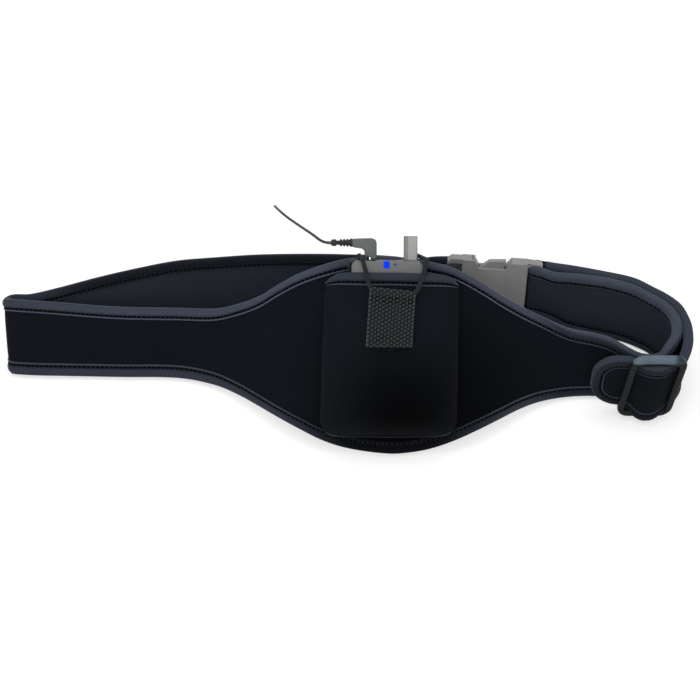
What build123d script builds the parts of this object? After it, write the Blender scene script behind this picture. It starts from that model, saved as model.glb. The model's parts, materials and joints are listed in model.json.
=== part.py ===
from build123d import *

import os
from math import cos, radians, sin, tan

os.makedirs("parts", exist_ok=True)

# A neoprene waist belt with a pocket that holds a small body-worn transmitter.
# Frame: +Z up, the belt stands on its lower edges on Z = 0, +X to the wearer's left,
# the pocket faces -Y, and the origin is on the floor at the middle of the belt ring.

# ---- belt -------------------------------------------------------------------
strap_width = 48.0
strap_thickness = 4.4
tape_thickness = 0.7
tape_width = 6.5
tape_clearance = 0.1
bar_strap_width = 41.0
lobe_lean = 42.0
lobe_foot_x = 29.5
lobe_foot_y = -71.4

# ---- buckle -----------------------------------------------------------------
buckle_x = 70.0
buckle_y = 122.5
buckle_foot_z = 2.4
bar_radius = 2.5
bar_clearance = 0.3
buckle_height = 50.0
buckle_thickness = 9.0
buckle_lean = 17.2
buckle_turn = 3.0
buckle_wall = 2.2
loop_gap = 0.3
male_bar_x = -25.0
male_body_start = male_bar_x + bar_radius + bar_clearance + strap_thickness + loop_gap
male_body_end = -8.0
female_start = -7.5
female_bar_x = 36.0
female_end = female_bar_x - bar_radius - bar_clearance - strap_thickness - loop_gap
window_start = -1.5
window_end = 10.0
window_depth = 7.0
prong_width = 4.0
prong_gap = 0.3
knuckle_radius = 2.4
knuckle_y = 13.0
pad_height = 5.4
buckle_edge_round = 1.2

# ---- slider -----------------------------------------------------------------
slider_width = 36.0
slider_height = 56.0
slider_thickness = 3.0
slider_bar = 3.5
slider_tilt = 0.05
slider_x = 172.8
slider_y = 32.05
slider_play = 0.8
tongue_length = 19.0
tongue_round = 18.0

# ---- transmitter ------------------------------------------------------------
unit_width = 45.0
unit_height = 92.0
unit_depth = 18.0
unit_x = -1.5
unit_shows = 10.0
unit_wall = 1.6
unit_corner = 4.0
unit_gap = 0.4
board_gap = 0.1
seam_depth = 9.0
seam_gap = 0.1
board_thickness = 1.2
board_width = 38.0
board_room = 5.0
board_top_gap = 0.4
cell_diameter = 10.5
cell_length = 44.5
cell_pitch = 14.0
cell_gap = 0.1
contact_thickness = 0.4
spring_length = 4.2
spring_wire = 0.6
spring_diameter = 6.4
door_height = 58.0
door_width = 32.0
door_clearance = 0.2
screw_diameter = 2.2
antenna_width = 8.6
antenna_depth = 6.0
antenna_height = 15.2
antenna_x = 13.5
antenna_wire = 1.6
led_width = 3.6
led_height = 4.4
led_x = -1.8
lamp_diameter = 1.6
lamp_x = 3.6
switch_x = 2.0
switch_length = 9.0
switch_width = 3.4
switch_travel = 3.0
knob_length = 4.6

# ---- microphone plug and cord ----------------------------------------------
jack_x = -12.3
jack_bore = 3.6
pin_diameter = 3.5
pin_length = 14.0
jack_outside = 7.0
jack_gap = 0.4
plug_width = 7.4
plug_depth = 7.4
plug_rise = 2.5
plug_height = 11.2
barrel_height = 5.2
barrel_length = 7.4
boot_length = 13.6
boot_taper = 0.8
boot_diameter = 4.4
cord_diameter = 1.8
coil_mean_diameter = 24.0
coil_width = 5.4
coil_height = 7.2
coil_x = -14.3
coil_y = 160.4
tie_width = 6.0
tie_thickness = 0.8
tie_gap = 0.2
tie_slack = 1.2
cord_run = 7.6
lead_leaves = 19.0
lead_bends = 37.0
lead_length = 52.0
lead_side = 5.0
capsule_diameter = 5.6
capsule_length = 14.0
foam_diameter = 9.0
foam_length = 12.0
foam_overlap = 7.0

# ---- pocket, elastic and tab -----------------------------------------------
pocket_width = 88.0
pocket_bottom = 12.5
pocket_under_unit = 23.0
pocket_foot_narrow = 10.0
lobe_margin = 11.0
pocket_thickness = 2.0
pocket_room = 2.2
pocket_slant = 0.65
pocket_round = 8.0
pocket_gap = tape_thickness + 0.2
pocket_tape_width = 8.5
elastic_diameter = 2.4
elastic_gap = 0.2
elastic_rise = 1.7
elastic_over_left = -18.5
elastic_over_right = 22.0
elastic_mouth_left = -14.5
elastic_mouth_right = 17.5
anchor_width = 56.0
anchor_height = 12.0
anchor_under_mouth = 13.5
anchor_left = -20.0
anchor_right = 17.5
tab_width = 29.0
tab_length = 38.0
tab_thickness = 2.2
tab_turn = -5.0
tab_x = 1.5
tab_under_mouth = 7.5
sleeve_length = 20.6
sleeve_wall = 0.9


# ---- the buckle's own frame ----------------------------------------------------
# Local X along the belt, local Y up the belt, local Z towards the wearer's front.
turn = radians(buckle_turn)
lean = radians(buckle_lean)
buckle_up = Vector(sin(lean) * sin(turn), sin(lean) * cos(turn), cos(lean))
buckle_foot = Vector(buckle_x + lobe_foot_x, buckle_y + lobe_foot_y, buckle_foot_z)
buckle_x_dir = Vector(cos(turn), -sin(turn), 0)
buckle_plane = Plane(
    origin=buckle_foot + buckle_up * (strap_width / 2),
    x_dir=buckle_x_dir,
    z_dir=buckle_x_dir.cross(buckle_up),
)


def on_floor(points):
    """Stations given from the lobe's foot, moved to the ring's own origin."""
    return [(x + lobe_foot_x, y + lobe_foot_y, *rest) for x, y, *rest in points]


def bar_turn(bar_x, angles, outside=False):
    """Planes of a strap that goes round one of the buckle's bars.

    The angle is 90 on the bar's outer side and -90 on the side that faces the wearer's front.
    """
    radius = bar_radius + bar_clearance + (strap_thickness if outside else 0.0)
    centre = buckle_plane.origin + buckle_plane.x_dir * bar_x - buckle_up * (bar_strap_width / 2)
    planes = []
    for angle in angles:
        radial = buckle_plane.x_dir * cos(radians(angle)) - buckle_plane.z_dir * sin(radians(angle))
        facing = radial if outside else -radial
        planes.append(
            Plane(origin=centre + radial * radius, x_dir=facing, z_dir=facing.cross(buckle_up))
        )
    return planes


def section_planes(path):
    """A plane per station: local X outward from the strap's face, local Y up the strap.

    Each is lifted until the lowest corner of its taped section is at the station's rise.
    """
    planes = []
    for index, (x, y, rise, tilt_x, tilt_y, height) in enumerate(path):
        before = path[max(index - 1, 0)]
        after = path[min(index + 1, len(path) - 1)]
        along = Vector(after[0] - before[0], after[1] - before[1], 0)
        up = Vector(tilt_x, tilt_y, 1).normalized()
        outward = along.cross(up).normalized()
        drop = min(
            outward.Z * tape_thickness,
            -outward.Z * (strap_thickness + tape_thickness),
        )
        foot = Vector(x, y, rise + tape_thickness * up.Z - drop)
        planes.append(Plane(origin=foot, x_dir=outward, z_dir=outward.cross(up)))
    return planes


def tape_section(edge, side):
    """The folded tape in a strap's section; side is -1 at the top edge and 1 at the bottom."""
    outer = tape_thickness
    inner = tape_clearance
    back = -strap_thickness
    return [
        (outer, edge + side * tape_width),
        (outer, edge - side * outer),
        (back - outer, edge - side * outer),
        (back - outer, edge + side * tape_width),
        (back - inner, edge + side * tape_width),
        (back - inner, edge - side * inner),
        (inner, edge - side * inner),
        (inner, edge + side * tape_width),
    ]


# ---- the belt's path ---------------------------------------------------------
# Each station: x, y of the outer face at the foot, rise above the floor,
# tilt in x and y per unit of height, and the strap's width there.
bar_rise = (strap_width - bar_strap_width) / 2
buckle_tilt = tan(radians(buckle_lean))
fold_x = -252.5
fold_y = 74.0
fold_tilt_x = -0.08
fold_tilt = 0.66
fold_radius = strap_thickness + tape_thickness + 0.8
tail_rise = slider_bar + slider_play
tail_width = slider_height - 2 * (slider_bar + slider_play + tape_thickness)
pocket_top = pocket_bottom + pocket_under_unit + unit_height - unit_shows
lobe_height = pocket_top + lobe_margin


def swell(share):
    """The strap's width where it swells into the lobe, by its share of the lobe's extra height."""
    return strap_width + share * (lobe_height - strap_width)


left_end = [
    (22.0, 124.3, bar_rise, 0.0, buckle_tilt, bar_strap_width),
    (34.0, 127.0, bar_rise, 0.0, buckle_tilt, bar_strap_width),
]
back_left = [
    (34.0, 122.2, bar_rise, 0.0, buckle_tilt, bar_strap_width),
    (22.0, 123.6, 2.0, 0.0, 0.31, 44.0),
    (8.0, 125.0, 0.0, 0.0, 0.32, strap_width),
    (-30.0, 126.6, 0.0, 0.0, 0.33, strap_width),
    (-60.0, 127.0, 0.0, 0.0, 0.33, strap_width),
    (-90.0, 126.0, 0.0, 0.0, 0.34, strap_width),
    (-118.0, 123.2, 0.0, 0.0, 0.35, strap_width),
    (-145.0, 117.5, 0.0, 0.0, 0.38, strap_width),
    (-172.0, 109.4, 0.0, 0.0, 0.42, strap_width),
    (-199.0, 99.0, 0.0, 0.0, 0.50, strap_width),
    (-226.0, 87.6, 0.0, 0.0, 0.58, strap_width),
    (-243.0, 81.0, 0.0, -0.03, 0.64, strap_width),
]
left_fold = [
    (
        fold_x + fold_radius * cos(radians(angle)),
        fold_y + fold_radius * sin(radians(angle)) * 1.15,
        0.0,
        fold_tilt_x,
        fold_tilt,
        strap_width,
    )
    for angle in (80, 120, 160, 200, 240, 280)
]
front = [
    (-240.0, 66.4, 0.0, -0.03, 0.67, strap_width),
    (-224.5, 66.0, 0.0, 0.0, 0.67, strap_width),
    (-183.0, 65.0, 0.0, 0.0, 0.67, strap_width),
    (-142.0, 64.0, 0.0, 0.0, 0.70, strap_width),
    (-117.0, 57.0, 1.0, 0.0, 0.75, swell(0.0497)),
    (-99.5, 45.7, 4.0, 0.0, 0.81, swell(0.1739)),
    (-85.0, 33.6, 7.0, 0.0, 0.87, swell(0.323)),
    (-71.5, 22.5, 9.0, 0.0, 0.90, swell(0.5031)),
    (-58.0, 13.4, 9.0, 0.0, 0.90, swell(0.6708)),
    (-42.0, 5.6, 6.4, 0.0, 0.90, swell(0.8323)),
    (-25.0, 2.2, 2.5, 0.0, 0.90, swell(0.9441)),
    (0.0, 0.0, 0.0, 0.0, 0.90, swell(1.0)),
    (14.0, 0.5, 0.5, 0.0, 0.90, swell(0.9752)),
    (28.0, 2.2, 2.5, 0.0, 0.90, swell(0.913)),
    (43.0, 5.6, 6.4, 0.0, 0.90, swell(0.8012)),
    (60.5, 13.4, 9.0, 0.0, 0.90, swell(0.5963)),
    (74.0, 22.4, 8.0, 0.0, 0.81, swell(0.4286)),
    (88.5, 33.0, 5.5, 0.0, 0.70, swell(0.2671)),
    (103.0, 42.0, 2.0, 0.0, 0.58, swell(0.1429)),
    (121.0, 47.7, 0.0, 0.0, 0.47, swell(0.0373)),
    (138.0, 49.0, 0.0, 0.0, 0.38, strap_width),
    (148.0, 48.0, 0.0, 0.0, 0.32, strap_width),
    (158.0, 45.0, 0.0, 0.0, 0.29, strap_width),
    (168.0, 41.8, 0.0, 0.0, 0.26, strap_width),
]
right_turn = [
    (179.0, 41.0, 0.0, 0.03, 0.22, strap_width),
    (187.0, 46.5, 0.0, 0.01, 0.22, strap_width),
    (192.3, 55.0, 0.0, 0.02, 0.20, strap_width),
    (194.6, 65.0, 0.0, 0.02, 0.17, strap_width),
    (194.8, 75.0, 0.0, 0.02, 0.13, strap_width),
    (191.5, 85.0, 0.0, 0.03, 0.10, strap_width),
    (185.5, 92.0, 0.0, 0.04, 0.11, strap_width),
    (178.0, 97.0, 0.0, 0.04, 0.14, strap_width),
    (168.0, 102.0, 0.0, 0.03, 0.21, strap_width),
    (151.0, 107.0, 0.0, 0.01, 0.27, strap_width),
    (130.0, 112.6, 0.0, 0.0, 0.30, strap_width),
    (118.0, 116.4, bar_rise, 0.0, buckle_tilt, bar_strap_width),
]
tail_outer = [
    (150.0, 35.6, tail_rise, 0.0, slider_tilt, tail_width),
    (154.6, 35.6, tail_rise, 0.0, slider_tilt, tail_width),
    (158.6, 35.2, tail_rise, 0.0, slider_tilt, tail_width),
    (169.2, 24.6, tail_rise, 0.0, slider_tilt, tail_width),
    (176.4, 24.6, tail_rise, 0.0, slider_tilt, tail_width),
    (187.0, 35.2, tail_rise, 0.0, slider_tilt, tail_width),
    (191.2, 36.8, tail_rise - 1.0, 0.0, slider_tilt, tail_width),
    (195.8, 43.8, 1.2, 0.02, 0.08, 47.0),
    (199.5, 54.0, 0.0, 0.02, 0.09, strap_width),
    (201.2, 65.0, 0.0, 0.02, 0.11, strap_width),
    (201.3, 76.0, 0.0, 0.02, 0.12, strap_width),
    (197.8, 88.0, 0.0, 0.03, 0.10, strap_width),
    (190.3, 97.0, 0.0, 0.04, 0.11, strap_width),
    (181.0, 103.2, 0.0, 0.04, 0.14, strap_width),
    (169.5, 108.6, 0.0, 0.03, 0.21, strap_width),
    (151.5, 113.7, 0.0, 0.01, 0.27, strap_width),
    (130.0, 119.6, 0.0, 0.0, 0.30, strap_width),
    (118.0, 125.2, bar_rise, 0.0, buckle_tilt, bar_strap_width),
]

# The belt starts folded back on itself, goes round the buckle's left bar, round the wearer
# and ends round the right bar, where the tail strap takes over.
ring_path = on_floor(back_left + left_fold + front + right_turn)
ring_planes = section_planes(ring_path)
ring_heights = [station[5] for station in ring_path]
taped = slice(2, len(ring_path) - 1)
end_planes = section_planes(on_floor(left_end)) + bar_turn(male_bar_x, (90, 45, 0, -45, -90))
last_planes = bar_turn(female_bar_x, (-90, -135, 180, 135, 90))
belt_planes = end_planes + ring_planes + last_planes
belt_heights = (
    [bar_strap_width] * len(end_planes) + ring_heights + [bar_strap_width] * len(last_planes)
)

with BuildPart() as belt_panel:
    for plane, height in zip(belt_planes, belt_heights):
        with BuildSketch(plane):
            Rectangle(strap_thickness, height, align=(Align.MAX, Align.MIN))
    loft(ruled=True)
belt_panel.part.label = "belt_panel"
export_step(belt_panel.part, "parts/belt_panel.step")

with BuildPart() as belt_binding_top:
    for plane, height in list(zip(ring_planes, ring_heights))[taped]:
        with BuildSketch(plane):
            Polygon(*tape_section(height, -1), align=None)
    loft(ruled=True)
belt_binding_top.part.label = "belt_binding_top"
export_step(belt_binding_top.part, "parts/belt_binding_top.step")

with BuildPart() as belt_binding_bottom:
    for plane in ring_planes[taped]:
        with BuildSketch(plane):
            Polygon(*tape_section(0.0, 1), align=None)
    loft(ruled=True)
belt_binding_bottom.part.label = "belt_binding_bottom"
export_step(belt_binding_bottom.part, "parts/belt_binding_bottom.step")

# ---- tail strap, tongue and its tape ----------------------------------------
tail_path = on_floor(tail_outer)
tail_planes = section_planes(tail_path) + bar_turn(female_bar_x, (90,), outside=True)
tail_heights = [station[5] for station in tail_path] + [bar_strap_width]
tongue_height = tail_heights[0]
tongue_plane = tail_planes[0]
# Local X is outward there, so the tongue's outline is drawn on a plane turned to face it.
tongue_face = Plane(
    origin=tongue_plane.origin,
    x_dir=-tongue_plane.z_dir,
    z_dir=tongue_plane.x_dir,
)


def tongue_outline(grow):
    """The rounded free end, drawn from the strap's end towards its tip."""
    reach = tongue_length + grow
    with BuildSketch(tongue_face.offset(grow)) as outline:
        with BuildLine():
            FilletPolyline(
                (0, -grow),
                (-reach, -grow),
                (-reach, tongue_height + grow),
                (0, tongue_height + grow),
                radius=tongue_round + grow,
            )
            Line((0, tongue_height + grow), (0, -grow))
        make_face()
    return outline.sketch


with BuildPart() as tail_strap:
    for plane, height in zip(tail_planes, tail_heights):
        with BuildSketch(plane):
            Rectangle(strap_thickness, height, align=(Align.MAX, Align.MIN))
    loft(ruled=True)
    extrude(tongue_outline(0.0), amount=-strap_thickness)
tail_strap.part.label = "tail_strap"
export_step(tail_strap.part, "parts/tail_strap.step")

with BuildPart() as tail_binding:
    for side, edges in ((-1, tail_heights), (1, [0.0] * len(tail_heights))):
        for plane, edge in list(zip(tail_planes, edges))[:-2]:
            with BuildSketch(plane):
                Polygon(*tape_section(edge, side), align=None)
        loft(ruled=True)
    extrude(tongue_outline(tape_thickness), amount=-strap_thickness - 2 * tape_thickness)
    extrude(
        tongue_outline(tape_clearance),
        amount=-strap_thickness - 2 * tape_clearance,
        mode=Mode.SUBTRACT,
    )
    with BuildSketch(tongue_face.offset(2 * tape_thickness)):
        with BuildLine():
            FilletPolyline(
                (1, tape_width),
                (tape_width - tongue_length, tape_width),
                (tape_width - tongue_length, tongue_height - tape_width),
                (1, tongue_height - tape_width),
                radius=tongue_round - tape_width,
            )
            Line((1, tongue_height - tape_width), (1, tape_width))
        make_face()
    extrude(amount=-strap_thickness - 4 * tape_thickness, mode=Mode.SUBTRACT)
tail_binding.part.label = "tail_binding"
export_step(tail_binding.part, "parts/tail_binding.step")

# ---- slider ------------------------------------------------------------------
slider_up = Vector(0, slider_tilt, 1).normalized()
slider_plane = Plane(
    origin=Vector(slider_x + lobe_foot_x, slider_y + lobe_foot_y, slider_thickness * slider_tilt),
    x_dir=(1, 0, 0),
    z_dir=Vector(1, 0, 0).cross(slider_up),
)
slider_window = (slider_width - 3 * slider_bar) / 2
slider_middle = (0, slider_height / 2)

with BuildPart() as strap_slider:
    with BuildSketch(slider_plane):
        with Locations(slider_middle):
            RectangleRounded(slider_width, slider_height, 5.0)
        with Locations(slider_middle):
            with GridLocations(slider_window + slider_bar, 0, 2, 1):
                Rectangle(slider_window, slider_height - 2 * slider_bar, mode=Mode.SUBTRACT)
    extrude(amount=slider_thickness / 2, both=True)
    outer_edges = strap_slider.edges().filter_by(GeomType.CIRCLE)
    fillet(outer_edges, slider_thickness * 0.25)
strap_slider.part.label = "strap_slider"
export_step(strap_slider.part, "parts/strap_slider.step")

# ---- buckle -------------------------------------------------------------------
half_height = buckle_height / 2
half_thickness = buckle_thickness / 2
rail_height = (buckle_height - bar_strap_width) / 2 - 0.6
rail_y = half_height - rail_height / 2
rail_thickness = 7.0
cavity_half = half_thickness - buckle_wall


def strap_rails(start, end, bar_x):
    """Two rails and the upright bar that the strap goes round."""
    with BuildSketch(buckle_plane) as rails:
        with Locations(((start + end) / 2, rail_y), ((start + end) / 2, -rail_y)):
            Rectangle(abs(end - start), rail_height)
    extrude(rails.sketch, amount=rail_thickness / 2, both=True)
    level = Plane(buckle_plane.origin, x_dir=buckle_plane.x_dir, z_dir=buckle_up)
    with BuildSketch(level) as bar:
        with Locations((bar_x, 0)):
            Circle(bar_radius)
    extrude(bar.sketch, amount=half_height - rail_height / 2, both=True)


with BuildPart() as buckle_socket:
    with BuildSketch(buckle_plane):
        with Locations(((female_start + female_end) / 2, 0)):
            Rectangle(female_end - female_start, buckle_height)
    extrude(amount=half_thickness, both=True)
    fillet(
        buckle_socket.edges().filter_by(lambda edge: edge.length > buckle_thickness * 2),
        buckle_edge_round,
    )
    with BuildSketch(buckle_plane):
        with Locations(
            ((window_start + window_end) / 2, half_height),
            ((window_start + window_end) / 2, -half_height),
        ):
            Rectangle(window_end - window_start, 2 * window_depth)
    extrude(amount=half_thickness, both=True, mode=Mode.SUBTRACT)
    with BuildSketch(buckle_plane):
        with Locations((female_start, 0)):
            Rectangle(
                window_end - female_start,
                buckle_height - 4 * buckle_wall,
                align=(Align.MIN, Align.CENTER),
            )
    extrude(amount=cavity_half, both=True, mode=Mode.SUBTRACT)
    strap_rails(female_end - 2.0, female_bar_x + bar_radius, female_bar_x)
buckle_socket.part.label = "buckle_socket"
export_step(buckle_socket.part, "parts/buckle_socket.step")

with BuildPart() as buckle_tongue:
    with BuildSketch(buckle_plane):
        with Locations(((male_body_start + male_body_end) / 2, 0)):
            Rectangle(male_body_end - male_body_start, buckle_height)
    extrude(amount=half_thickness, both=True)
    fillet(
        buckle_tongue.edges().filter_by(lambda edge: edge.length > buckle_thickness * 2),
        buckle_edge_round,
    )
    with BuildSketch(buckle_plane):
        with Locations((male_body_end - 1.0, 0)):
            Rectangle(
                window_end - male_body_end - 1.0,
                2 * (knuckle_y - prong_width - 1.5),
                align=(Align.MIN, Align.CENTER),
            )
    extrude(amount=cavity_half - prong_gap, both=True)
    with BuildSketch(buckle_plane):
        with Locations((male_body_end, knuckle_y), (male_body_end, -knuckle_y)):
            Circle(knuckle_radius + prong_gap)
        with Locations((male_body_end + 0.6, knuckle_y), (male_body_end + 0.6, -knuckle_y)):
            Rectangle(1.4, 2 * prong_width)
    extrude(amount=cavity_half + 0.1, both=True, mode=Mode.SUBTRACT)
    strap_rails(male_bar_x - bar_radius, male_body_start + 2.0, male_bar_x)
buckle_tongue.part.label = "buckle_tongue"
export_step(buckle_tongue.part, "parts/buckle_tongue.step")

for name, side in (("buckle_prong_upper", 1), ("buckle_prong_lower", -1)):
    with BuildPart() as prong:
        with BuildSketch(buckle_plane):
            with Locations((male_body_end, side * knuckle_y)):
                Circle(knuckle_radius)
            with BuildLine():
                Polyline(
                    (male_body_end, side * (knuckle_y - prong_width / 2)),
                    (window_end - 2.2, side * (knuckle_y - prong_width / 2 + 1.2)),
                    (window_end - 0.9, side * (knuckle_y + prong_width)),
                    (window_end - 1.6, side * (half_height - 0.4)),
                    (window_start + 1.2, side * (half_height - 1.4)),
                    (window_start + 0.6, side * (knuckle_y + prong_width)),
                    (window_start - 1.0, side * (knuckle_y + prong_width / 2)),
                    (male_body_end, side * (knuckle_y + prong_width / 2)),
                    close=True,
                )
            make_face()
        extrude(amount=cavity_half - prong_gap, both=True)
    prong.part.label = name
    export_step(prong.part, f"parts/{name}.step")

# ---- the lobe's own frame --------------------------------------------------------
# Local X to the right, local Y up the lobe, local Z out of the lobe's outer face.
leaning = radians(lobe_lean)
lobe_up = Vector(0, sin(leaning), cos(leaning))
lobe_out = Vector(0, -cos(leaning), sin(leaning))
lobe_foot_z = tape_thickness * cos(leaning) + (strap_thickness + tape_thickness) * sin(leaning)
lobe_plane = Plane(
    origin=(lobe_foot_x, lobe_foot_y, lobe_foot_z),
    x_dir=(1, 0, 0),
    z_dir=lobe_out,
)

# ---- transmitter ------------------------------------------------------------------
unit_top = pocket_top + unit_shows
unit_back = tape_thickness + unit_gap
unit_bottom = unit_top - unit_height
unit_middle = (unit_x, unit_bottom + unit_height / 2)
seam = unit_back + seam_depth
unit_front = unit_back + unit_depth


def lobe_box(x, y, low, width, height, depth, mode=Mode.ADD, round_by=0.0):
    """A box in the lobe's frame by its centre in X and Y, its low side and its sizes."""
    with BuildSketch(lobe_plane.offset(low)) as face:
        with Locations((x, y)):
            if round_by:
                RectangleRounded(width, height, round_by)
            else:
                Rectangle(width, height)
    extrude(face.sketch, amount=depth, mode=mode)


def lobe_stub(x, y, low, diameter, depth, mode=Mode.ADD):
    """A round post or bore across the lobe's frame."""
    with BuildSketch(lobe_plane.offset(low)) as face:
        with Locations((x, y)):
            Circle(diameter / 2)
    extrude(face.sketch, amount=depth, mode=mode)


def upright(x, depth, low, width, thick, height, mode=Mode.ADD, round_by=0.0):
    """A block that stands along the lobe's own up direction."""
    base = Plane(
        lobe_plane.origin + lobe_up * low + lobe_out * depth,
        x_dir=(1, 0, 0),
        z_dir=lobe_up,
    )
    with BuildSketch(base) as face:
        with Locations((x, 0)):
            if round_by:
                RectangleRounded(width, thick, round_by)
            else:
                Rectangle(width, thick)
    extrude(face.sketch, amount=height, mode=mode)


def upright_round(x, depth, low, diameter, height, mode=Mode.ADD):
    """A round post or bore along the lobe's own up direction."""
    base = Plane(
        lobe_plane.origin + lobe_up * low + lobe_out * depth,
        x_dir=(1, 0, 0),
        z_dir=lobe_up,
    )
    with BuildSketch(base) as face:
        with Locations((x, 0)):
            Circle(diameter / 2)
    extrude(face.sketch, amount=height, mode=mode)


top_depth = unit_back + unit_depth / 2
screw_places = [
    (unit_x + sx * (unit_width / 2 - 4.2), unit_bottom + unit_height / 2 + sy * (unit_height / 2 - 4.6))
    for sx in (-1, 1)
    for sy in (-1, 1)
]
door_middle = unit_bottom + 3.0 + door_height / 2
inner_width = unit_width - 2 * unit_wall
inner_height = unit_height - 2 * unit_wall

shell_back = Axis(origin=(0, 0, 0), direction=(lobe_out.X, lobe_out.Y, lobe_out.Z))
antenna_foot = 2.4
jack_body = 14.6


def screw_posts(low, high):
    """The four screw posts in a shell, each bored for its screw."""
    for place in screw_places:
        lobe_stub(*place, low, screw_diameter + 2.4, high - low)
        lobe_stub(*place, low - unit_wall, screw_diameter + 0.2, high - low + unit_wall, Mode.SUBTRACT)


def top_openings():
    """Cuts in the shells' top wall for the antenna, the jack and the switch."""
    low = unit_top - unit_wall - 1.0
    high = unit_wall + 2.0
    upright(antenna_x, top_depth, low, antenna_width - 1.8, antenna_depth - 1.8, high, Mode.SUBTRACT)
    upright_round(jack_x, top_depth, low, jack_outside + 0.2, high, Mode.SUBTRACT)
    upright(switch_x, top_depth, low, switch_length, switch_width, high, Mode.SUBTRACT)


with BuildPart() as rear_shell:
    lobe_box(
        *unit_middle, unit_back, unit_width, unit_height, seam_depth - seam_gap / 2, round_by=unit_corner
    )
    fillet(rear_shell.faces().sort_by(shell_back)[0].edges(), 1.5)
    lobe_box(
        *unit_middle, unit_back + unit_wall, inner_width, inner_height, seam_depth, Mode.SUBTRACT,
        unit_corner - unit_wall,
    )
    screw_posts(unit_back + unit_wall / 2, seam - seam_gap / 2)
    lobe_box(unit_x, door_middle, unit_back, door_width, door_height, unit_wall, Mode.SUBTRACT)
    top_openings()
rear_shell.part.label = "rear_shell"
export_step(rear_shell.part, "parts/rear_shell.step")

with BuildPart() as front_shell:
    lobe_box(
        *unit_middle, seam + seam_gap / 2, unit_width, unit_height,
        unit_depth - seam_depth - seam_gap / 2, round_by=unit_corner,
    )
    fillet(front_shell.faces().sort_by(shell_back)[-1].edges(), 1.5)
    lobe_box(
        *unit_middle, seam, inner_width, inner_height, unit_depth - seam_depth - unit_wall,
        Mode.SUBTRACT, unit_corner - unit_wall,
    )
    screw_posts(seam + seam_gap / 2, unit_front - unit_wall / 2)
    top_openings()
    lobe_box(
        led_x, unit_top - led_height / 2, unit_front - unit_wall - 1.0,
        led_width + 0.2, led_height + 0.2, unit_wall + 2.0, Mode.SUBTRACT,
    )
    lobe_stub(
        lamp_x, unit_top - led_height / 2, unit_front - unit_wall - 1.0,
        lamp_diameter + 0.2, unit_wall + 2.0, Mode.SUBTRACT,
    )
front_shell.part.label = "front_shell"
export_step(front_shell.part, "parts/front_shell.step")

# ---- what the transmitter holds inside -----------------------------------------
board_low = top_depth - (jack_outside - jack_gap) / 2 - board_gap - board_thickness
spring_low = unit_bottom + unit_wall + cell_gap
cell_y = spring_low + spring_length + cell_gap + cell_length / 2
stack_top = cell_y + cell_length / 2 + cell_gap + contact_thickness
board_top = unit_top - unit_wall - board_top_gap
board_height = board_top - stack_top - board_room
board_y = board_top - board_height / 2

with BuildPart() as battery_door:
    lobe_box(
        unit_x, door_middle, unit_back, door_width - 2 * door_clearance,
        door_height - 2 * door_clearance, unit_wall - door_clearance, round_by=0.8,
    )
battery_door.part.label = "battery_door"
export_step(battery_door.part, "parts/battery_door.step")

with BuildPart() as circuit_board:
    lobe_box(unit_x, board_y, board_low, board_width, board_height, board_thickness)
    for place in screw_places:
        lobe_stub(*place, board_low - 1.0, screw_diameter + 3.2, board_thickness + 2.0, Mode.SUBTRACT)
circuit_board.part.label = "circuit_board"
export_step(circuit_board.part, "parts/circuit_board.step")

with BuildPart() as battery_cells:
    for side in (-1, 1):
        upright_round(
            unit_x + side * cell_pitch / 2, top_depth, cell_y - cell_length / 2, cell_diameter, cell_length
        )
battery_cells.part.label = "battery_cells"
export_step(battery_cells.part, "parts/battery_cells.step")

with BuildPart() as battery_contacts:
    upright(
        unit_x, top_depth, cell_y + cell_length / 2 + cell_gap, 2 * cell_pitch - 1.0, cell_diameter - 2.0,
        contact_thickness,
    )
battery_contacts.part.label = "battery_contacts"
export_step(battery_contacts.part, "parts/battery_contacts.step")

with BuildPart() as battery_springs:
    for side in (-1, 1):
        upright_round(
            unit_x + side * cell_pitch / 2, top_depth, spring_low, spring_diameter, spring_length
        )
        upright_round(
            unit_x + side * cell_pitch / 2, top_depth, spring_low, spring_diameter - 2 * spring_wire,
            spring_length, Mode.SUBTRACT,
        )
battery_springs.part.label = "battery_springs"
export_step(battery_springs.part, "parts/battery_springs.step")

with BuildPart() as shell_screws:
    for place in screw_places:
        lobe_stub(*place, unit_back + 0.1, screw_diameter, unit_depth - unit_wall - 1.0)
shell_screws.part.label = "shell_screws"
export_step(shell_screws.part, "parts/shell_screws.step")

# ---- what shows on the transmitter ------------------------------------------------
with BuildPart() as antenna_cover:
    upright(
        antenna_x, top_depth, unit_top + 0.1, antenna_width, antenna_depth, antenna_height - 0.1,
        round_by=1.2,
    )
    upright(
        antenna_x, top_depth, unit_top - antenna_foot, antenna_width - 2.0, antenna_depth - 2.0,
        antenna_foot + 0.2,
    )
    upright_round(
        antenna_x, top_depth, unit_top - antenna_foot - 1.0, antenna_wire + 0.2,
        antenna_height + antenna_foot - 1.0, Mode.SUBTRACT,
    )
antenna_cover.part.label = "antenna_cover"
export_step(antenna_cover.part, "parts/antenna_cover.step")

with BuildPart() as antenna_whip:
    upright_round(
        antenna_x, top_depth, unit_top - antenna_foot - 4.0, antenna_wire,
        antenna_height + antenna_foot + 4.0 - 2.4,
    )
antenna_whip.part.label = "antenna_whip"
export_step(antenna_whip.part, "parts/antenna_whip.step")

with BuildPart() as status_led:
    lobe_box(
        led_x, unit_top - led_height / 2, unit_front - unit_wall - 0.4, led_width, led_height,
        unit_wall + 0.6, round_by=0.5,
    )
status_led.part.label = "status_led"
export_step(status_led.part, "parts/status_led.step")

with BuildPart() as level_lamp:
    lobe_stub(lamp_x, unit_top - led_height / 2, unit_front - unit_wall - 0.4, lamp_diameter, unit_wall + 0.4)
level_lamp.part.label = "level_lamp"
export_step(level_lamp.part, "parts/level_lamp.step")

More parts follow.
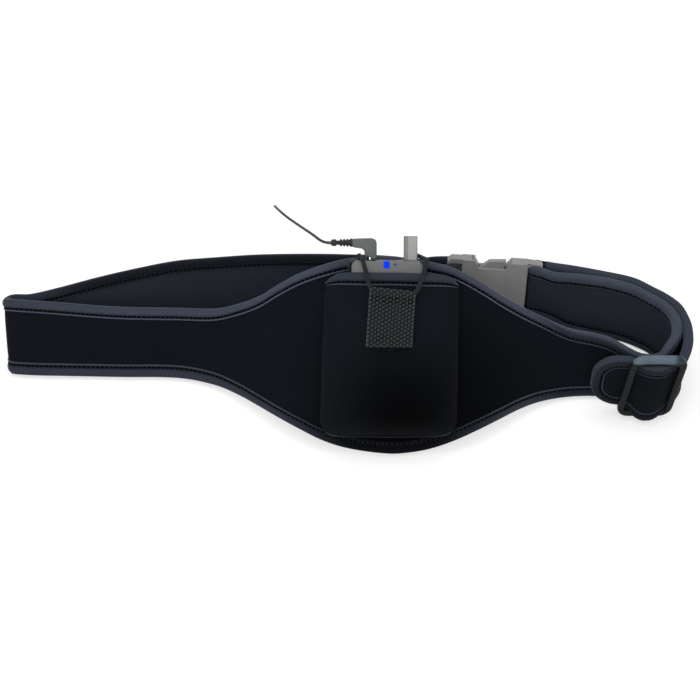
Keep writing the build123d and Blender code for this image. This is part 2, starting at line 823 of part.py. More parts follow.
switch_low = unit_top - 2.0
with BuildPart() as switch_knob:
    upright(
        switch_x - switch_travel / 2 + 0.2, top_depth, switch_low, knob_length - 0.4, switch_width - 0.5, 1.8
    )
    for ridge in (-1, 0, 1):
        upright(
            switch_x - switch_travel / 2 + 0.2 + 1.2 * ridge, top_depth, switch_low + 1.7, 0.6,
            switch_width - 0.9, 0.6,
        )
switch_knob.part.label = "switch_knob"
export_step(switch_knob.part, "parts/switch_knob.step")

with BuildPart() as switch_body:
    upright(
        switch_x, top_depth, switch_low - 3.6, switch_length + 1.0, jack_outside - jack_gap, 3.4
    )
switch_body.part.label = "switch_body"
export_step(switch_body.part, "parts/switch_body.step")

with BuildPart() as jack_socket:
    upright_round(jack_x, top_depth, unit_top - jack_body, jack_outside - jack_gap, jack_body + 0.4)
    upright_round(jack_x, top_depth, unit_top - jack_body - 1.0, jack_bore, jack_body + 3.0, Mode.SUBTRACT)
jack_socket.part.label = "jack_socket"
export_step(jack_socket.part, "parts/jack_socket.step")

# ---- microphone plug ----------------------------------------------------------------
plug_low = unit_top + plug_rise
plug_top = plug_low + plug_height
cord_level = plug_top - barrel_height / 2
barrel_start = jack_x - plug_width / 2
boot_start = barrel_start - barrel_length
cord_exit = boot_start - boot_length

with BuildPart() as plug_pin:
    upright_round(jack_x, top_depth, plug_low - pin_length, pin_diameter, pin_length)
    chamfer(plug_pin.edges().sort_by(Axis((0, 0, 0), lobe_up))[0], 0.8)
plug_pin.part.label = "plug_pin"
export_step(plug_pin.part, "parts/plug_pin.step")

with BuildPart() as plug_body:
    upright(jack_x, top_depth, plug_low, plug_width, plug_depth, plug_height, round_by=1.4)
    side_plane = Plane(
        lobe_plane.origin + lobe_up * cord_level + lobe_out * top_depth + Vector(barrel_start + 1.0, 0, 0),
        x_dir=lobe_out,
        z_dir=(-1, 0, 0),
    )
    with BuildSketch(side_plane):
        RectangleRounded(barrel_height + 0.8, barrel_height, 1.8)
    extrude(amount=barrel_length + 1.0)
plug_body.part.label = "plug_body"
export_step(plug_body.part, "parts/plug_body.step")

boot_plane = Plane(
    lobe_plane.origin + lobe_up * cord_level + lobe_out * top_depth + Vector(boot_start, 0, 0),
    x_dir=lobe_out,
    z_dir=(-1, 0, 0),
)
with BuildPart() as plug_boot:
    with BuildSketch(boot_plane):
        Circle((boot_diameter + boot_taper) / 2)
    with BuildSketch(boot_plane.offset(boot_length)):
        Circle((boot_diameter - boot_taper) / 2)
    loft()
plug_boot.part.label = "plug_boot"
export_step(plug_boot.part, "parts/plug_boot.step")

# ---- pocket ----------------------------------------------------------------------
# The pocket's walls are an arch of two slanted sides and a flat front, sewn to the lobe.
pocket_rise = unit_front + pocket_room + pocket_thickness - pocket_gap
slant_length = (1 + pocket_slant**2) ** 0.5
tape_out = tape_clearance + tape_thickness
pocket_sections = [
    (0.0, pocket_width - pocket_foot_narrow, 0.18 * pocket_rise),
    (4.5, pocket_width - 0.3 * pocket_foot_narrow, 0.40 * pocket_rise),
    (12.5, pocket_width, 0.75 * pocket_rise),
    (21.5, pocket_width, pocket_rise),
]


def arch(u, width, rise, grow, base=0.0):
    """The pocket's section at a height up the lobe, grown or shrunk by an even amount."""
    plane = Plane(
        lobe_plane.origin + lobe_up * u + lobe_out * pocket_gap,
        x_dir=(1, 0, 0),
        z_dir=-lobe_up,
    )
    foot = width / 2 + grow * slant_length - pocket_slant * base
    shoulder = width / 2 + grow * slant_length - pocket_slant * (rise + grow)
    with BuildSketch(plane) as section:
        with BuildLine():
            FilletPolyline(
                (-foot, base),
                (-shoulder, rise + grow),
                (shoulder, rise + grow),
                (foot, base),
                radius=min(pocket_round + grow, rise),
            )
            Line((foot, base), (-foot, base))
        make_face()
    return section.sketch


with BuildPart() as pocket_panel:
    loft([arch(pocket_bottom + up, width, rise, 0.0) for up, width, rise in pocket_sections], ruled=True)
    extrude(
        arch(pocket_bottom + pocket_sections[-1][0], pocket_width, pocket_rise, 0.0),
        amount=-(pocket_top - pocket_bottom - pocket_sections[-1][0]),
    )
    loft(
        [
            arch(pocket_bottom + up + pocket_thickness * 0.75, width, rise, -pocket_thickness, -1.0)
            for up, width, rise in pocket_sections
        ],
        ruled=True,
        mode=Mode.SUBTRACT,
    )
    extrude(
        arch(
            pocket_bottom + pocket_sections[-1][0] + pocket_thickness * 0.75,
            pocket_width, pocket_rise, -pocket_thickness, -1.0,
        ),
        amount=-(pocket_top - pocket_bottom),
        mode=Mode.SUBTRACT,
    )
pocket_panel.part.label = "pocket_panel"
export_step(pocket_panel.part, "parts/pocket_panel.step")

mouth_low = pocket_top - pocket_tape_width
with BuildPart() as pocket_binding:
    for low, high, grow, mode in (
        (mouth_low, pocket_top + tape_out, tape_out, Mode.ADD),
        (mouth_low - 1.0, pocket_top + tape_clearance, tape_clearance, Mode.SUBTRACT),
        (mouth_low, pocket_top + tape_out, -pocket_thickness - tape_clearance, Mode.ADD),
        (mouth_low - 1.0, pocket_top + tape_out + 1.0, -pocket_thickness - tape_out, Mode.SUBTRACT),
    ):
        base = 0.0 if mode == Mode.ADD else -1.0
        extrude(
            arch(low, pocket_width, pocket_rise, grow, base),
            amount=low - high,
            mode=mode,
        )
pocket_binding.part.label = "pocket_binding"
export_step(pocket_binding.part, "parts/pocket_binding.step")

# ---- elastic loop and its pull tab ---------------------------------------------------
elastic_radius = elastic_diameter / 2
sleeve_radius = elastic_radius + elastic_gap + sleeve_wall
tab_depth = pocket_gap + pocket_rise + tape_out + elastic_gap + sleeve_radius
behind_lobe = -strap_thickness - tape_thickness - elastic_gap - elastic_radius
over_unit = unit_top + elastic_radius + elastic_rise
anchor_low = pocket_top - anchor_under_mouth
tab_hinge_u = pocket_top - tab_under_mouth
tab_centre = lobe_plane.origin + Vector(tab_x, 0, 0) + lobe_up * tab_hinge_u + lobe_out * tab_depth
tab_along = Vector(cos(radians(tab_turn)), 0, 0) + lobe_up * sin(radians(tab_turn))
tab_plane = Plane(tab_centre, x_dir=tab_along, z_dir=lobe_out)


def on_lobe(x, u, depth):
    """A point by its place in the lobe's frame."""
    return lobe_plane.origin + Vector(x, 0, 0) + lobe_up * u + lobe_out * depth


elastic_corner = sleeve_length / 2 + 2.7
elastic_route = [
    on_lobe(anchor_left, anchor_low, behind_lobe),
    on_lobe(anchor_left, over_unit + 0.7, behind_lobe),
    on_lobe(elastic_over_left, over_unit, unit_front + 0.8),
    on_lobe(elastic_mouth_left, pocket_top, tab_depth - 0.8),
    tab_plane.origin - tab_along * elastic_corner,
    tab_plane.origin + tab_along * elastic_corner,
    on_lobe(elastic_mouth_right, pocket_top, tab_depth - 0.8),
    on_lobe(elastic_over_right, over_unit, unit_front + 0.8),
    on_lobe(anchor_right, over_unit + 0.7, behind_lobe),
    on_lobe(anchor_right, anchor_low, behind_lobe),
]
elastic_radii = [3.5, 3.5, 8.0, 2.8, 2.8, 8.0, 3.5, 3.5]

with BuildPart() as elastic_loop:
    with BuildLine() as elastic_path:
        FilletPolyline(*elastic_route, radius=elastic_radii)
    with BuildSketch(Plane(elastic_route[0], x_dir=(1, 0, 0), z_dir=lobe_up)):
        Circle(elastic_radius)
    sweep(path=elastic_path.line)
elastic_loop.part.label = "elastic_loop"
export_step(elastic_loop.part, "parts/elastic_loop.step")

with BuildPart() as elastic_anchor:
    anchor_back = behind_lobe - elastic_radius - elastic_gap - 1.0
    lobe_box(
        (anchor_left + anchor_right) / 2, anchor_low + anchor_height / 2, anchor_back,
        anchor_width, anchor_height,
        -strap_thickness - pocket_gap - anchor_back, round_by=2.0,
    )
    for x in (anchor_left, anchor_right):
        upright_round(
            x, behind_lobe, anchor_low - 1.0, elastic_diameter + 2 * elastic_gap, anchor_height + 2.0,
            Mode.SUBTRACT,
        )
elastic_anchor.part.label = "elastic_anchor"
export_step(elastic_anchor.part, "parts/elastic_anchor.step")

with BuildPart() as pull_tab:
    with BuildSketch(Plane(tab_centre - tab_along * sleeve_length / 2, x_dir=lobe_out, z_dir=tab_along)):
        Circle(sleeve_radius)
    extrude(amount=sleeve_length)
    with BuildSketch(tab_plane.offset(-tab_thickness)) as webbing:
        with Locations((0, -3.5)):
            Rectangle(tab_width, tab_length - 3.5, align=(Align.CENTER, Align.MAX))
        Rectangle(sleeve_length, 5.0, align=(Align.CENTER, Align.MAX))
    extrude(amount=tab_thickness)
    with BuildSketch(Plane(tab_centre - tab_along * sleeve_length, x_dir=lobe_out, z_dir=tab_along)):
        Circle(elastic_radius + elastic_gap)
    extrude(amount=2 * sleeve_length, mode=Mode.SUBTRACT)
pull_tab.part.label = "pull_tab"
export_step(pull_tab.part, "parts/pull_tab.step")

# ---- microphone cord ------------------------------------------------------------------
# The cord leaves the boot, arches back over the belt, comes down behind it and is put
# away there as a flat coil on the floor, with the microphone beside it.
cord_start = on_lobe(cord_exit, cord_level, top_depth)
coil_low = tie_thickness + tie_gap
coil_top = coil_low + coil_height
coil_radius = coil_mean_diameter / 2
lead_level = foam_diameter / 2 + 0.1
cord_route = [cord_start, cord_start + Vector(-cord_run, 0, 0)] + [
    Vector(*point)
    for point in on_floor(
        [
            (-48.6, 94.0, 111.4),
            (-54.5, 107.0, 104.2),
            (-65.0, 129.0, 91.4),
            (-76.1, 151.0, 81.7),
            (-78.0, 176.0, 57.5),
            (-66.6, 183.0, 36.6),
            (-52.4, 185.0, 21.0),
            (-34.5, 182.5, 13.8),
            (-17.0, 180.5, 13.4),
            (-8.5, 171.8, 9.8),
            (-2.6, 165.6, 6.2),
        ]
    )
]
coil_centre = Vector(*on_floor([(coil_x, coil_y, 0.0)])[0])
lead_route = [
    coil_centre + Vector(*offset, lead_level)
    for offset in (
        (1.0, -coil_radius), (-lead_leaves, -coil_radius), (-lead_bends, -lead_side),
        (-lead_length, -lead_side),
    )
]


def cord_radii(route):
    """The largest even arc at each inner point of a cord's route."""
    radii = []
    for before, point, after in zip(route, route[1:], route[2:]):
        run_in = point - before
        run_out = after - point
        shorter = min(run_in.length, run_out.length)
        radii.append(0.45 * shorter / tan(radians(run_in.get_angle(run_out) / 2)))
    return radii


for name, route in (("mic_cord", cord_route), ("mic_lead", lead_route)):
    radii = cord_radii(route)
    with BuildPart() as tube:
        with BuildLine() as tube_path:
            FilletPolyline(*route, radius=radii)
        with BuildSketch(Plane(route[0], z_dir=route[1] - route[0])) as tube_section:
            Circle(cord_diameter / 2)
        sweep(path=tube_path.line)
    tube.part.label = name
    export_step(tube.part, f"parts/{name}.step")
    print(name, "radii", [round(radius, 1) for radius in radii])
    length = sum(edge.length for edge in tube_path.edges())
    print(name, "length", round(length, 1), "volume", round(tube.part.volume, 1))
    print(name, "section by length", round(tube_section.sketch.area * length, 1))

with BuildPart() as cord_coil:
    with BuildSketch(Plane(coil_centre + Vector(0, 0, coil_low))):
        Circle(coil_radius + coil_width / 2)
        Circle(coil_radius - coil_width / 2, mode=Mode.SUBTRACT)
    extrude(amount=coil_height)
    fillet(cord_coil.edges().filter_by(GeomType.CIRCLE), 1.8)
cord_coil.part.label = "cord_coil"
export_step(cord_coil.part, "parts/cord_coil.step")

with BuildPart() as coil_tie:
    tie_inside = (coil_width + 2 * tie_gap + tie_slack, coil_height + 2 * tie_gap)
    tie_middle = coil_low + coil_height / 2
    tie_plane = Plane(
        coil_centre + Vector(-coil_radius, -tie_width / 2, tie_middle), x_dir=(1, 0, 0), z_dir=(0, 1, 0)
    )
    with BuildSketch(tie_plane):
        RectangleRounded(tie_inside[0] + 2 * tie_thickness, tie_inside[1] + 2 * tie_thickness, 1.6)
        RectangleRounded(*tie_inside, 0.8, mode=Mode.SUBTRACT)
    extrude(amount=tie_width)
coil_tie.part.label = "coil_tie"
export_step(coil_tie.part, "parts/coil_tie.step")

capsule_plane = Plane(lead_route[-1], x_dir=(0, 1, 0), z_dir=(-1, 0, 0))
with BuildPart() as mic_capsule:
    with BuildSketch(capsule_plane):
        Circle(capsule_diameter / 2)
    extrude(amount=capsule_length)
    fillet(mic_capsule.edges().filter_by(GeomType.CIRCLE), 0.8)
mic_capsule.part.label = "mic_capsule"
export_step(mic_capsule.part, "parts/mic_capsule.step")

with BuildPart() as mic_windscreen:
    foam_start = capsule_length - foam_overlap
    with BuildSketch(capsule_plane.offset(foam_start)):
        Circle(foam_diameter / 2)
    extrude(amount=foam_length)
    fillet(mic_windscreen.edges().filter_by(GeomType.CIRCLE).sort_by(Axis.X)[0], 3.6)
    fillet(mic_windscreen.edges().filter_by(GeomType.CIRCLE).sort_by(Axis.X)[-1], 1.2)
    with BuildSketch(capsule_plane.offset(foam_start - 1.0)):
        Circle(capsule_diameter / 2 + 0.2)
    extrude(amount=foam_overlap + 1.2, mode=Mode.SUBTRACT)
mic_windscreen.part.label = "mic_windscreen"
export_step(mic_windscreen.part, "parts/mic_windscreen.step")
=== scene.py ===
import json
from math import cos, exp, pi, radians, sin, tan

import bmesh
import bpy
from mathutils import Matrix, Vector

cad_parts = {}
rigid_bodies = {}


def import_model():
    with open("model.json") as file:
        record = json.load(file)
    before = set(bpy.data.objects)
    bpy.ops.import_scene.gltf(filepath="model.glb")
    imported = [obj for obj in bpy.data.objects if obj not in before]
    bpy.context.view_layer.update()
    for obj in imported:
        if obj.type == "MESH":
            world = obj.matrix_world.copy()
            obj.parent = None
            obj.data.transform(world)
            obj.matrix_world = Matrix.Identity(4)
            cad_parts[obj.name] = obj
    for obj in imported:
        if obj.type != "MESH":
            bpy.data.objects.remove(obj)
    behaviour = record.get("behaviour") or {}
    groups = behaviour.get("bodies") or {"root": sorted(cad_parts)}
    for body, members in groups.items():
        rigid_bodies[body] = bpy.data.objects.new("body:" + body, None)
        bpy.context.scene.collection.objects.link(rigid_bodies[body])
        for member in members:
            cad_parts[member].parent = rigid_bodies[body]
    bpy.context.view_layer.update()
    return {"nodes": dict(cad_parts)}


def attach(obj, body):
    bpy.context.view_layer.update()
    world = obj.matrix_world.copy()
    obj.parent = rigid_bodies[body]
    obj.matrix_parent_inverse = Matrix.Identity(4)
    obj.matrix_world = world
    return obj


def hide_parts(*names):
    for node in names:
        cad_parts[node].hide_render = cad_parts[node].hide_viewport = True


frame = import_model()
NODES = frame["nodes"]
MM = 0.001

# ---- sizes shared with the construction model, in millimetres ----
STRAP_WIDTH = 48.0
STRAP_THICKNESS = 4.4
TAPE_THICKNESS = 0.7
BAR_STRAP_WIDTH = 37.2
LOBE_FOOT = Vector((29.5, -71.4, 0.0))
LOBE_LEAN = radians(42.0)
BUCKLE_FOOT = Vector((70.0, 122.5, 2.4)) + LOBE_FOOT
BUCKLE_LEAN = radians(17.2)
BUCKLE_TURN = radians(3.0)
BAR_RADIUS = 2.8
MALE_BAR_X = -25.0
FEMALE_BAR_X = 36.0
SLIDER_X, SLIDER_Y = 171.0, 32.05
SLIDER_THICKNESS = 4.0
SLIDER_TILT = 0.05
SLIDER_LEAN = 0.067
TAIL_RISE = 6.6
TAIL_WIDTH = 43.2
UNIT_TOP = 127.5
UNIT_FRONT = 19.1
TOP_DEPTH = 10.1
POCKET_TOP = 117.5
POCKET_BOTTOM = 12.5
POCKET_HALF = 44.0
POCKET_GAP = 0.9
POCKET_WALL = 2.0
POCKET_SLACK = 2.2
POCKET_RISE = UNIT_FRONT + POCKET_SLACK + POCKET_WALL - POCKET_GAP
TAB_WIDTH = 29.0
TAB_LENGTH = 36.8
TAB_THICKNESS = 2.2
CORD_LEVEL = 138.6
CORD_EXIT = -37.0
CORD_RADIUS = 0.9
PLUG_THICKNESS = 7.4
BOOT_LENGTH = 13.6
BOOT_RADIUS = 2.6

# ---- sizes of the sewing and the weave ----
GROOVE = 5.5  # from the strap's edge to the row of stitches
STITCH_PITCH = 3.2
STITCH_LENGTH = 1.95
YARN = 1.3
WEFT_PITCH = 2.7
WARP_PITCH = 2.07
WEFT_SLANT = 0.22  # how far a thread climbs across one column, as a share of its pitch
CROWN_ACROSS, CROWN_ALONG = 0.6, 0.8  # how full the threads are

lobe_up = Vector((0, sin(LOBE_LEAN), cos(LOBE_LEAN)))
lobe_out = Vector((0, -cos(LOBE_LEAN), sin(LOBE_LEAN)))
lobe_foot_z = TAPE_THICKNESS * lobe_up.z + (STRAP_THICKNESS + TAPE_THICKNESS) * lobe_out.z
lobe_origin = LOBE_FOOT + Vector((0, 0, lobe_foot_z))
rightwards = Vector((1, 0, 0))


def on_lobe(x, u, depth):
    """A point by its place across the pocket, up it and out of it."""
    return lobe_origin + rightwards * x + lobe_up * u + lobe_out * depth


# ---- materials ----
def operator(operation, swapped=False):
    """Makes one of the wire's operators: it adds a Math node that works on the wire and the other."""

    def work_out(self, other):
        return self.maths(operation, other, self) if swapped else self.maths(operation, self, other)

    return work_out


class Wire:
    """A node's output that adds, multiplies and divides like a number."""

    def __init__(self, tree, socket):
        self.tree, self.socket = tree, socket

    def maths(self, operation, *values):
        return node(self.tree, "ShaderNodeMath", {"operation": operation}, dict(enumerate(values)))

    __add__ = operator("ADD")
    __radd__ = operator("ADD", swapped=True)
    __sub__ = operator("SUBTRACT")
    __rsub__ = operator("SUBTRACT", swapped=True)
    __mul__ = operator("MULTIPLY")
    __rmul__ = operator("MULTIPLY", swapped=True)
    __truediv__ = operator("DIVIDE")
    __rtruediv__ = operator("DIVIDE", swapped=True)
    __pow__ = operator("POWER")
    __mod__ = operator("FLOORED_MODULO")
    lesser = operator("MINIMUM")
    greater = operator("MAXIMUM")

    def cosine(self):
        return self.maths("COSINE", self)

    def size(self):
        return self.maths("ABSOLUTE", self)

    def eased(self, low, high, at_low=0.0, at_high=1.0):
        """Runs smoothly from one value to another as this goes from low to high."""
        return node(
            self.tree, "ShaderNodeMapRange", {"interpolation_type": "SMOOTHSTEP"},
            {"Value": self, "From Min": low, "From Max": high, "To Min": at_low, "To Max": at_high},
        )


def node(tree, kind, settings, values, out=0):
    """Adds one node, sets it and its sockets, and gives one of its outputs as a wire."""
    made = tree.nodes.new(kind)
    for key, value in settings.items():
        setattr(made, key, value)
    for key, value in values.items():
        if isinstance(value, Wire):
            tree.links.new(value.socket, made.inputs[key])
        else:
            made.inputs[key].default_value = value
    return Wire(tree, made.outputs[out])


def finish(name, colour, roughness, **sockets):
    """A Principled material with its tree and shader, and the values that are the same all over."""
    material = bpy.data.materials.new(name)
    material.use_nodes = True
    shader = material.node_tree.nodes["Principled BSDF"]
    shader.inputs["Base Color"].default_value = (*colour, 1)
    shader.inputs["Roughness"].default_value = roughness
    for key, value in sockets.items():
        shader.inputs[key.replace("_", " ")].default_value = value
    material.diffuse_color = (*colour, 1)
    return material, material.node_tree, shader


def join(tree, wire, shader, socket):
    tree.links.new(wire.socket, shader.inputs[socket])


def bump(tree, shader, height, distance):
    relief = node(tree, "ShaderNodeBump", {}, {"Height": height, "Distance": distance})
    join(tree, relief, shader, "Normal")


def place(tree):
    """The Object coordinates, which are the whole product's own since every piece is at the origin."""
    return node(tree, "ShaderNodeTexCoord", {}, {}, out=3)


def surface(tree):
    """The piece's own map: along its run and round its girth, in metres."""
    return node(tree, "ShaderNodeUVMap", {"uv_map": "run"}, {})


def split(tree, vector):
    parts = node(tree, "ShaderNodeSeparateXYZ", {}, {0: vector}).socket.node.outputs
    return [Wire(tree, part) for part in parts]


def mottle(tree, vector, scale, detail=3.0):
    return node(
        tree, "ShaderNodeTexNoise", {}, {"Vector": vector, "Scale": scale, "Detail": detail}
    )


def blend_colour(tree, factor, low, high):
    return node(
        tree, "ShaderNodeMix", {"data_type": "RGBA"},
        {0: factor, 6: (*low, 1), 7: (*high, 1)}, out=2,
    )


def scaled(tree, colour, factor):
    """A colour made lighter or darker by a factor."""
    return node(tree, "ShaderNodeVectorMath", {"operation": "SCALE"}, {0: colour, "Scale": factor})


def reach_from(tree, centre):
    """How far the surface is from a point, in metres."""
    return node(
        tree, "ShaderNodeVectorMath", {"operation": "DISTANCE"},
        {0: place(tree), 1: tuple(centre * MM)}, out=1,
    )


# One face of the folded tape: distance from the strap's edge, height over the strap's face.
TAPE_FACE = [
    (7.35, -0.25), (7.35, 0.32), (7.1, 0.58), (6.75, 0.66), (6.35, 0.55), (6.05, 0.1), (GROOVE, -0.3),
    (4.95, 0.0), (4.6, 0.62), (4.0, 0.98), (3.0, 1.12), (2.0, 1.05), (1.1, 0.85), (0.3, 0.45),
    (-0.25, -0.15), (-0.5, -0.9),
]
GROOVE_STRIPS = (4, 5, 6, 7)


def tape_girth(thickness):
    """The way round a tape's whole section, in millimetres."""
    rim_allowance = 0.3
    reach = sum(
        ((d - d2) ** 2 + (a - a2) ** 2) ** 0.5 for (d, a), (d2, a2) in zip(TAPE_FACE, TAPE_FACE[1:])
    )
    return 2 * reach + 2 * thickness + rim_allowance


def painted_roll_light(tree, here, reach):
    """How much lighter the roll is painted, as painted highlight: to the right, in front and high up, and
    at the right end only on its crest.
    """
    right, back, high = split(tree, here)
    lighter_share = back.eased(10 * MM, 45 * MM, 1.0, 0.0).greater(right.eased(60 * MM, 100 * MM))
    # A painted highlight on the roll's crest; towards the right end only the crest stays light.
    crest = reach.eased(7.4 * MM, 9.8 * MM, 0.30, 1.0)
    crest = crest.greater(right.eased(120 * MM, 160 * MM, 1.0, 0.0))
    return lighter_share * high.eased(18 * MM, 42 * MM, 1.15, 2.3) * crest + 0.55


def knitted(name, colour, light, sheen, rib=0.9, painted_shade_round=None, fold=0.0, lit_roll=False):
    """Jersey laid over foam: fine ribs, a slow mottle, and a soft sheen at grazing angles.

    Its point darkens the cloth round it as painted shade; fold is the girth of a tape with a groove, which
    is painted darker in the groove and lighter over the roll and the hem; the last flag paints more light
    on that roll.
    """
    material, tree, shader = finish(
        name, colour, 0.88, Sheen_Weight=sheen, Sheen_Roughness=0.35, Specular_IOR_Level=0.05,
        Sheen_Tint=(0.74, 0.81, 1.0, 1),
    )
    here = place(tree)
    run, across, _ = split(tree, surface(tree))
    ribs = (across * (2 * pi / (rib * MM))).cosine() * (run * (2 * pi / (rib * 1.6 * MM))).cosine()
    slow = mottle(tree, here, 38.0)
    fine = mottle(tree, here, 1400.0, 2.0)
    shade = blend_colour(tree, slow * 0.75 + fine * 0.25, colour, light)
    # Painted shade: darkest round the given point, easing off away from it.
    if painted_shade_round:
        centre, near, far, least = painted_shade_round
        shade = scaled(tree, shade, reach_from(tree, centre).eased(near * MM, far * MM, least, 1.0))
    if fold:
        reach = across.lesser(fold * MM - across)
        # Painted shade in the sewn groove and painted highlight over the padded roll and the hem.
        roll = reach.eased(2.9 * MM, 6.4 * MM, 0.42, 1.2)
        hem = reach.eased(1.6 * MM, 2.3 * MM, 1.7, 0.0)
        shade = scaled(tree, shade, roll.greater(hem))
        # Painted highlight: more light on the roll in front, to the right and high up.
        if lit_roll:
            shade = scaled(tree, shade, painted_roll_light(tree, here, reach).greater(hem * 0.95))
    join(tree, shade, shader, "Base Color")
    relief = ribs * 0.5 + mottle(tree, here, 900.0, 2.0) * 0.6
    if fold:
        puckers = (run * (2 * pi / (STITCH_PITCH * MM))).cosine()
        relief = relief * 0.5 + puckers * reach.eased(3.6 * MM, 6.2 * MM, 1.0, 0.0) * 1.6
    bump(tree, shader, relief, 0.12 * MM)
    return material


def moulded(name, colour, roughness, grain=0.04, gloss=0.5, painted_side_shade=None):
    """Moulded plastic or rubber with a fine spark texture and slightly rubbed colour.

    The middle and the half width of an upright stripe may be given; beyond the stripe the plastic is
    darkened as painted shade.
    """
    material, tree, shader = finish(name, colour, roughness, Specular_IOR_Level=gloss)
    here = place(tree)
    speckle = mottle(tree, here, 2600.0, 2.0)
    cloudy = mottle(tree, here, 90.0)
    darker = tuple(0.82 * c for c in colour)
    lighter = tuple(min(1.0, 1.14 * c) for c in colour)
    shade = blend_colour(tree, cloudy, darker, lighter)
    # Painted shade on the sides beyond the upright stripe.
    if painted_side_shade:
        middle, reach = painted_side_shade
        side = (split(tree, here)[0] - middle * MM).size()
        shade = scaled(tree, shade, side.eased(reach * MM, (reach + 0.4) * MM, 1.0, 0.62))
    join(tree, shade, shader, "Base Color")
    join(tree, cloudy * 0.16 + (roughness - 0.08), shader, "Roughness")
    bump(tree, shader, speckle, grain * MM)
    return material


def metal(name, colour, roughness):
    material, tree, shader = finish(name, colour, roughness, Metallic=1.0)
    here = place(tree)
    join(tree, mottle(tree, here, 400.0) * 0.2 + (roughness - 0.1), shader, "Roughness")
    bump(tree, shader, mottle(tree, here, 1500.0), 0.01 * MM)
    return material


def glowing(name, colour, strength):
    unlit = tuple(0.25 * c for c in colour)
    material, tree, shader = finish(
        name, unlit, 0.6, Emission_Strength=strength, Specular_IOR_Level=0.02
    )
    cloudy = mottle(tree, place(tree), 700.0)
    bright = tuple(min(1.0, c * 1.2 + 0.004) for c in colour)
    join(tree, blend_colour(tree, cloudy, colour, bright), shader, "Emission Color")
    return material


def thick_threads(run, down):
    """How near the surface is to the crown of one of the webbing's threads, from 0 to 1."""
    column = run / (WARP_PITCH * MM)
    part = column % 1.0
    odd = (column - part) % 2.0
    across = (part * pi + pi / 2).cosine().size()
    phase = down / (WEFT_PITCH * MM) + odd * 0.5 + part * WEFT_SLANT
    along = (phase * pi + pi / 2).cosine().size()
    return across**CROWN_ACROSS * along**CROWN_ALONG


def woven(name, gap, crown):
    """Coarse webbing with fibrous crowns, painted darker between its thick threads as painted shade and
    paler on their crowns as painted highlight.
    """
    material, tree, shader = finish(
        name, crown, 0.75, Sheen_Weight=0.15, Sheen_Roughness=0.4, Specular_IOR_Level=0.2
    )
    run, down, _ = split(tree, surface(tree))
    fibres = (run * (2 * pi / (0.31 * MM)) + down * (2 * pi / (1.6 * MM))).cosine()
    lighter_share = mottle(tree, place(tree), 420.0) * 0.5 + 0.6
    height = thick_threads(run, down)
    # Painted shade between the threads and a painted highlight on their crowns.
    join(tree, blend_colour(tree, height**1.9 * lighter_share, gap, crown), shader, "Base Color")
    bump(tree, shader, height + fibres * 0.12, 0.30 * MM)
    return material


def plastic_with_painted_highlight(name, colour, light):
    """Glossy moulded plastic with a painted highlight along the slider's upper bar, fading towards its
    right end.
    """
    material, tree, shader = finish(name, colour, 0.34, Specular_IOR_Level=0.12)
    here = place(tree)
    right, _, level = split(tree, here)
    # A painted highlight on the upper bar, patchy, and fainter towards the right end.
    painted_highlight = level.eased(54.8 * MM, 56.8 * MM) * (mottle(tree, here, 160.0) * 0.5 + 0.72)
    painted_highlight = painted_highlight * right.eased(212 * MM, 216 * MM, 1.0, 0.25)
    join(tree, blend_colour(tree, painted_highlight, colour, light), shader, "Base Color")
    join(tree, mottle(tree, here, 300.0) * 0.12 + 0.28, shader, "Roughness")
    bump(tree, shader, mottle(tree, here, 2600.0, 2.0), 0.04 * MM)
    return material


# The jersey carries painted shade, darkest round the lobe's lower middle.
neoprene = knitted(
    "neoprene_jersey", (0.0046, 0.0056, 0.0086), (0.0068, 0.0081, 0.0120), 0.02,
    painted_shade_round=(on_lobe(22.0, 22.0, 0.0), 26.0, 112.0, 0.22),
)
# The pocket carries painted shade, darkest round its middle.
pocket_cloth = knitted(
    "pocket_jersey", (0.0052, 0.0066, 0.0094), (0.0076, 0.0094, 0.0130), 0.02,
    painted_shade_round=(on_lobe(9.0, 30.0, 20.0), 8.0, 64.0, 0.12),
)
# A lighter cloth for the strap's inner face than for its outer face.
inner_face_cloth = knitted("inner_face_jersey", (0.0200, 0.0238, 0.0332), (0.0292, 0.0346, 0.0480), 0.03, rib=1.2)
# The tape carries painted shade round the lobe's bottom, and painted shade and highlight on its roll.
tape_cloth = knitted(
    "binding_tape", (0.0125, 0.0145, 0.0205), (0.0190, 0.0220, 0.0300), 0.34, rib=0.7,
    painted_shade_round=(on_lobe(4.0, 0.0, 0.0), 20.0, 95.0, 0.10), fold=tape_girth(STRAP_THICKNESS), lit_roll=True,
)
# A darker copy of the binding tape with less sheen: its darker colour is painted shade on the tail's tape.
tail_tape_cloth = knitted(
    "tail_tape", (0.0088, 0.0102, 0.0145), (0.0140, 0.0162, 0.0222), 0.13, rib=0.7,
    fold=tape_girth(STRAP_THICKNESS), lit_roll=True,
)
mouth_cloth = knitted(
    "mouth_tape", (0.0225, 0.0262, 0.0360), (0.0335, 0.0388, 0.0520), 0.12, rib=0.7,
    fold=tape_girth(POCKET_WALL),
)
groove_cloth = knitted("sewn_groove", (0.0115, 0.0134, 0.0185), (0.0180, 0.0208, 0.0282), 0.0, rib=0.7)
thread = moulded("sewing_thread", (0.0009, 0.0009, 0.0012), 0.8, gloss=0.02)
webbing = woven("webbing", (0.0012, 0.0014, 0.0015), (0.058, 0.066, 0.072))
elastic_braid = knitted("elastic_braid", (0.016, 0.0175, 0.019), (0.036, 0.039, 0.042), 0.1, rib=0.5)
buckle_plastic = moulded("buckle_plastic", (0.290, 0.286, 0.284), 0.5, gloss=0.3)
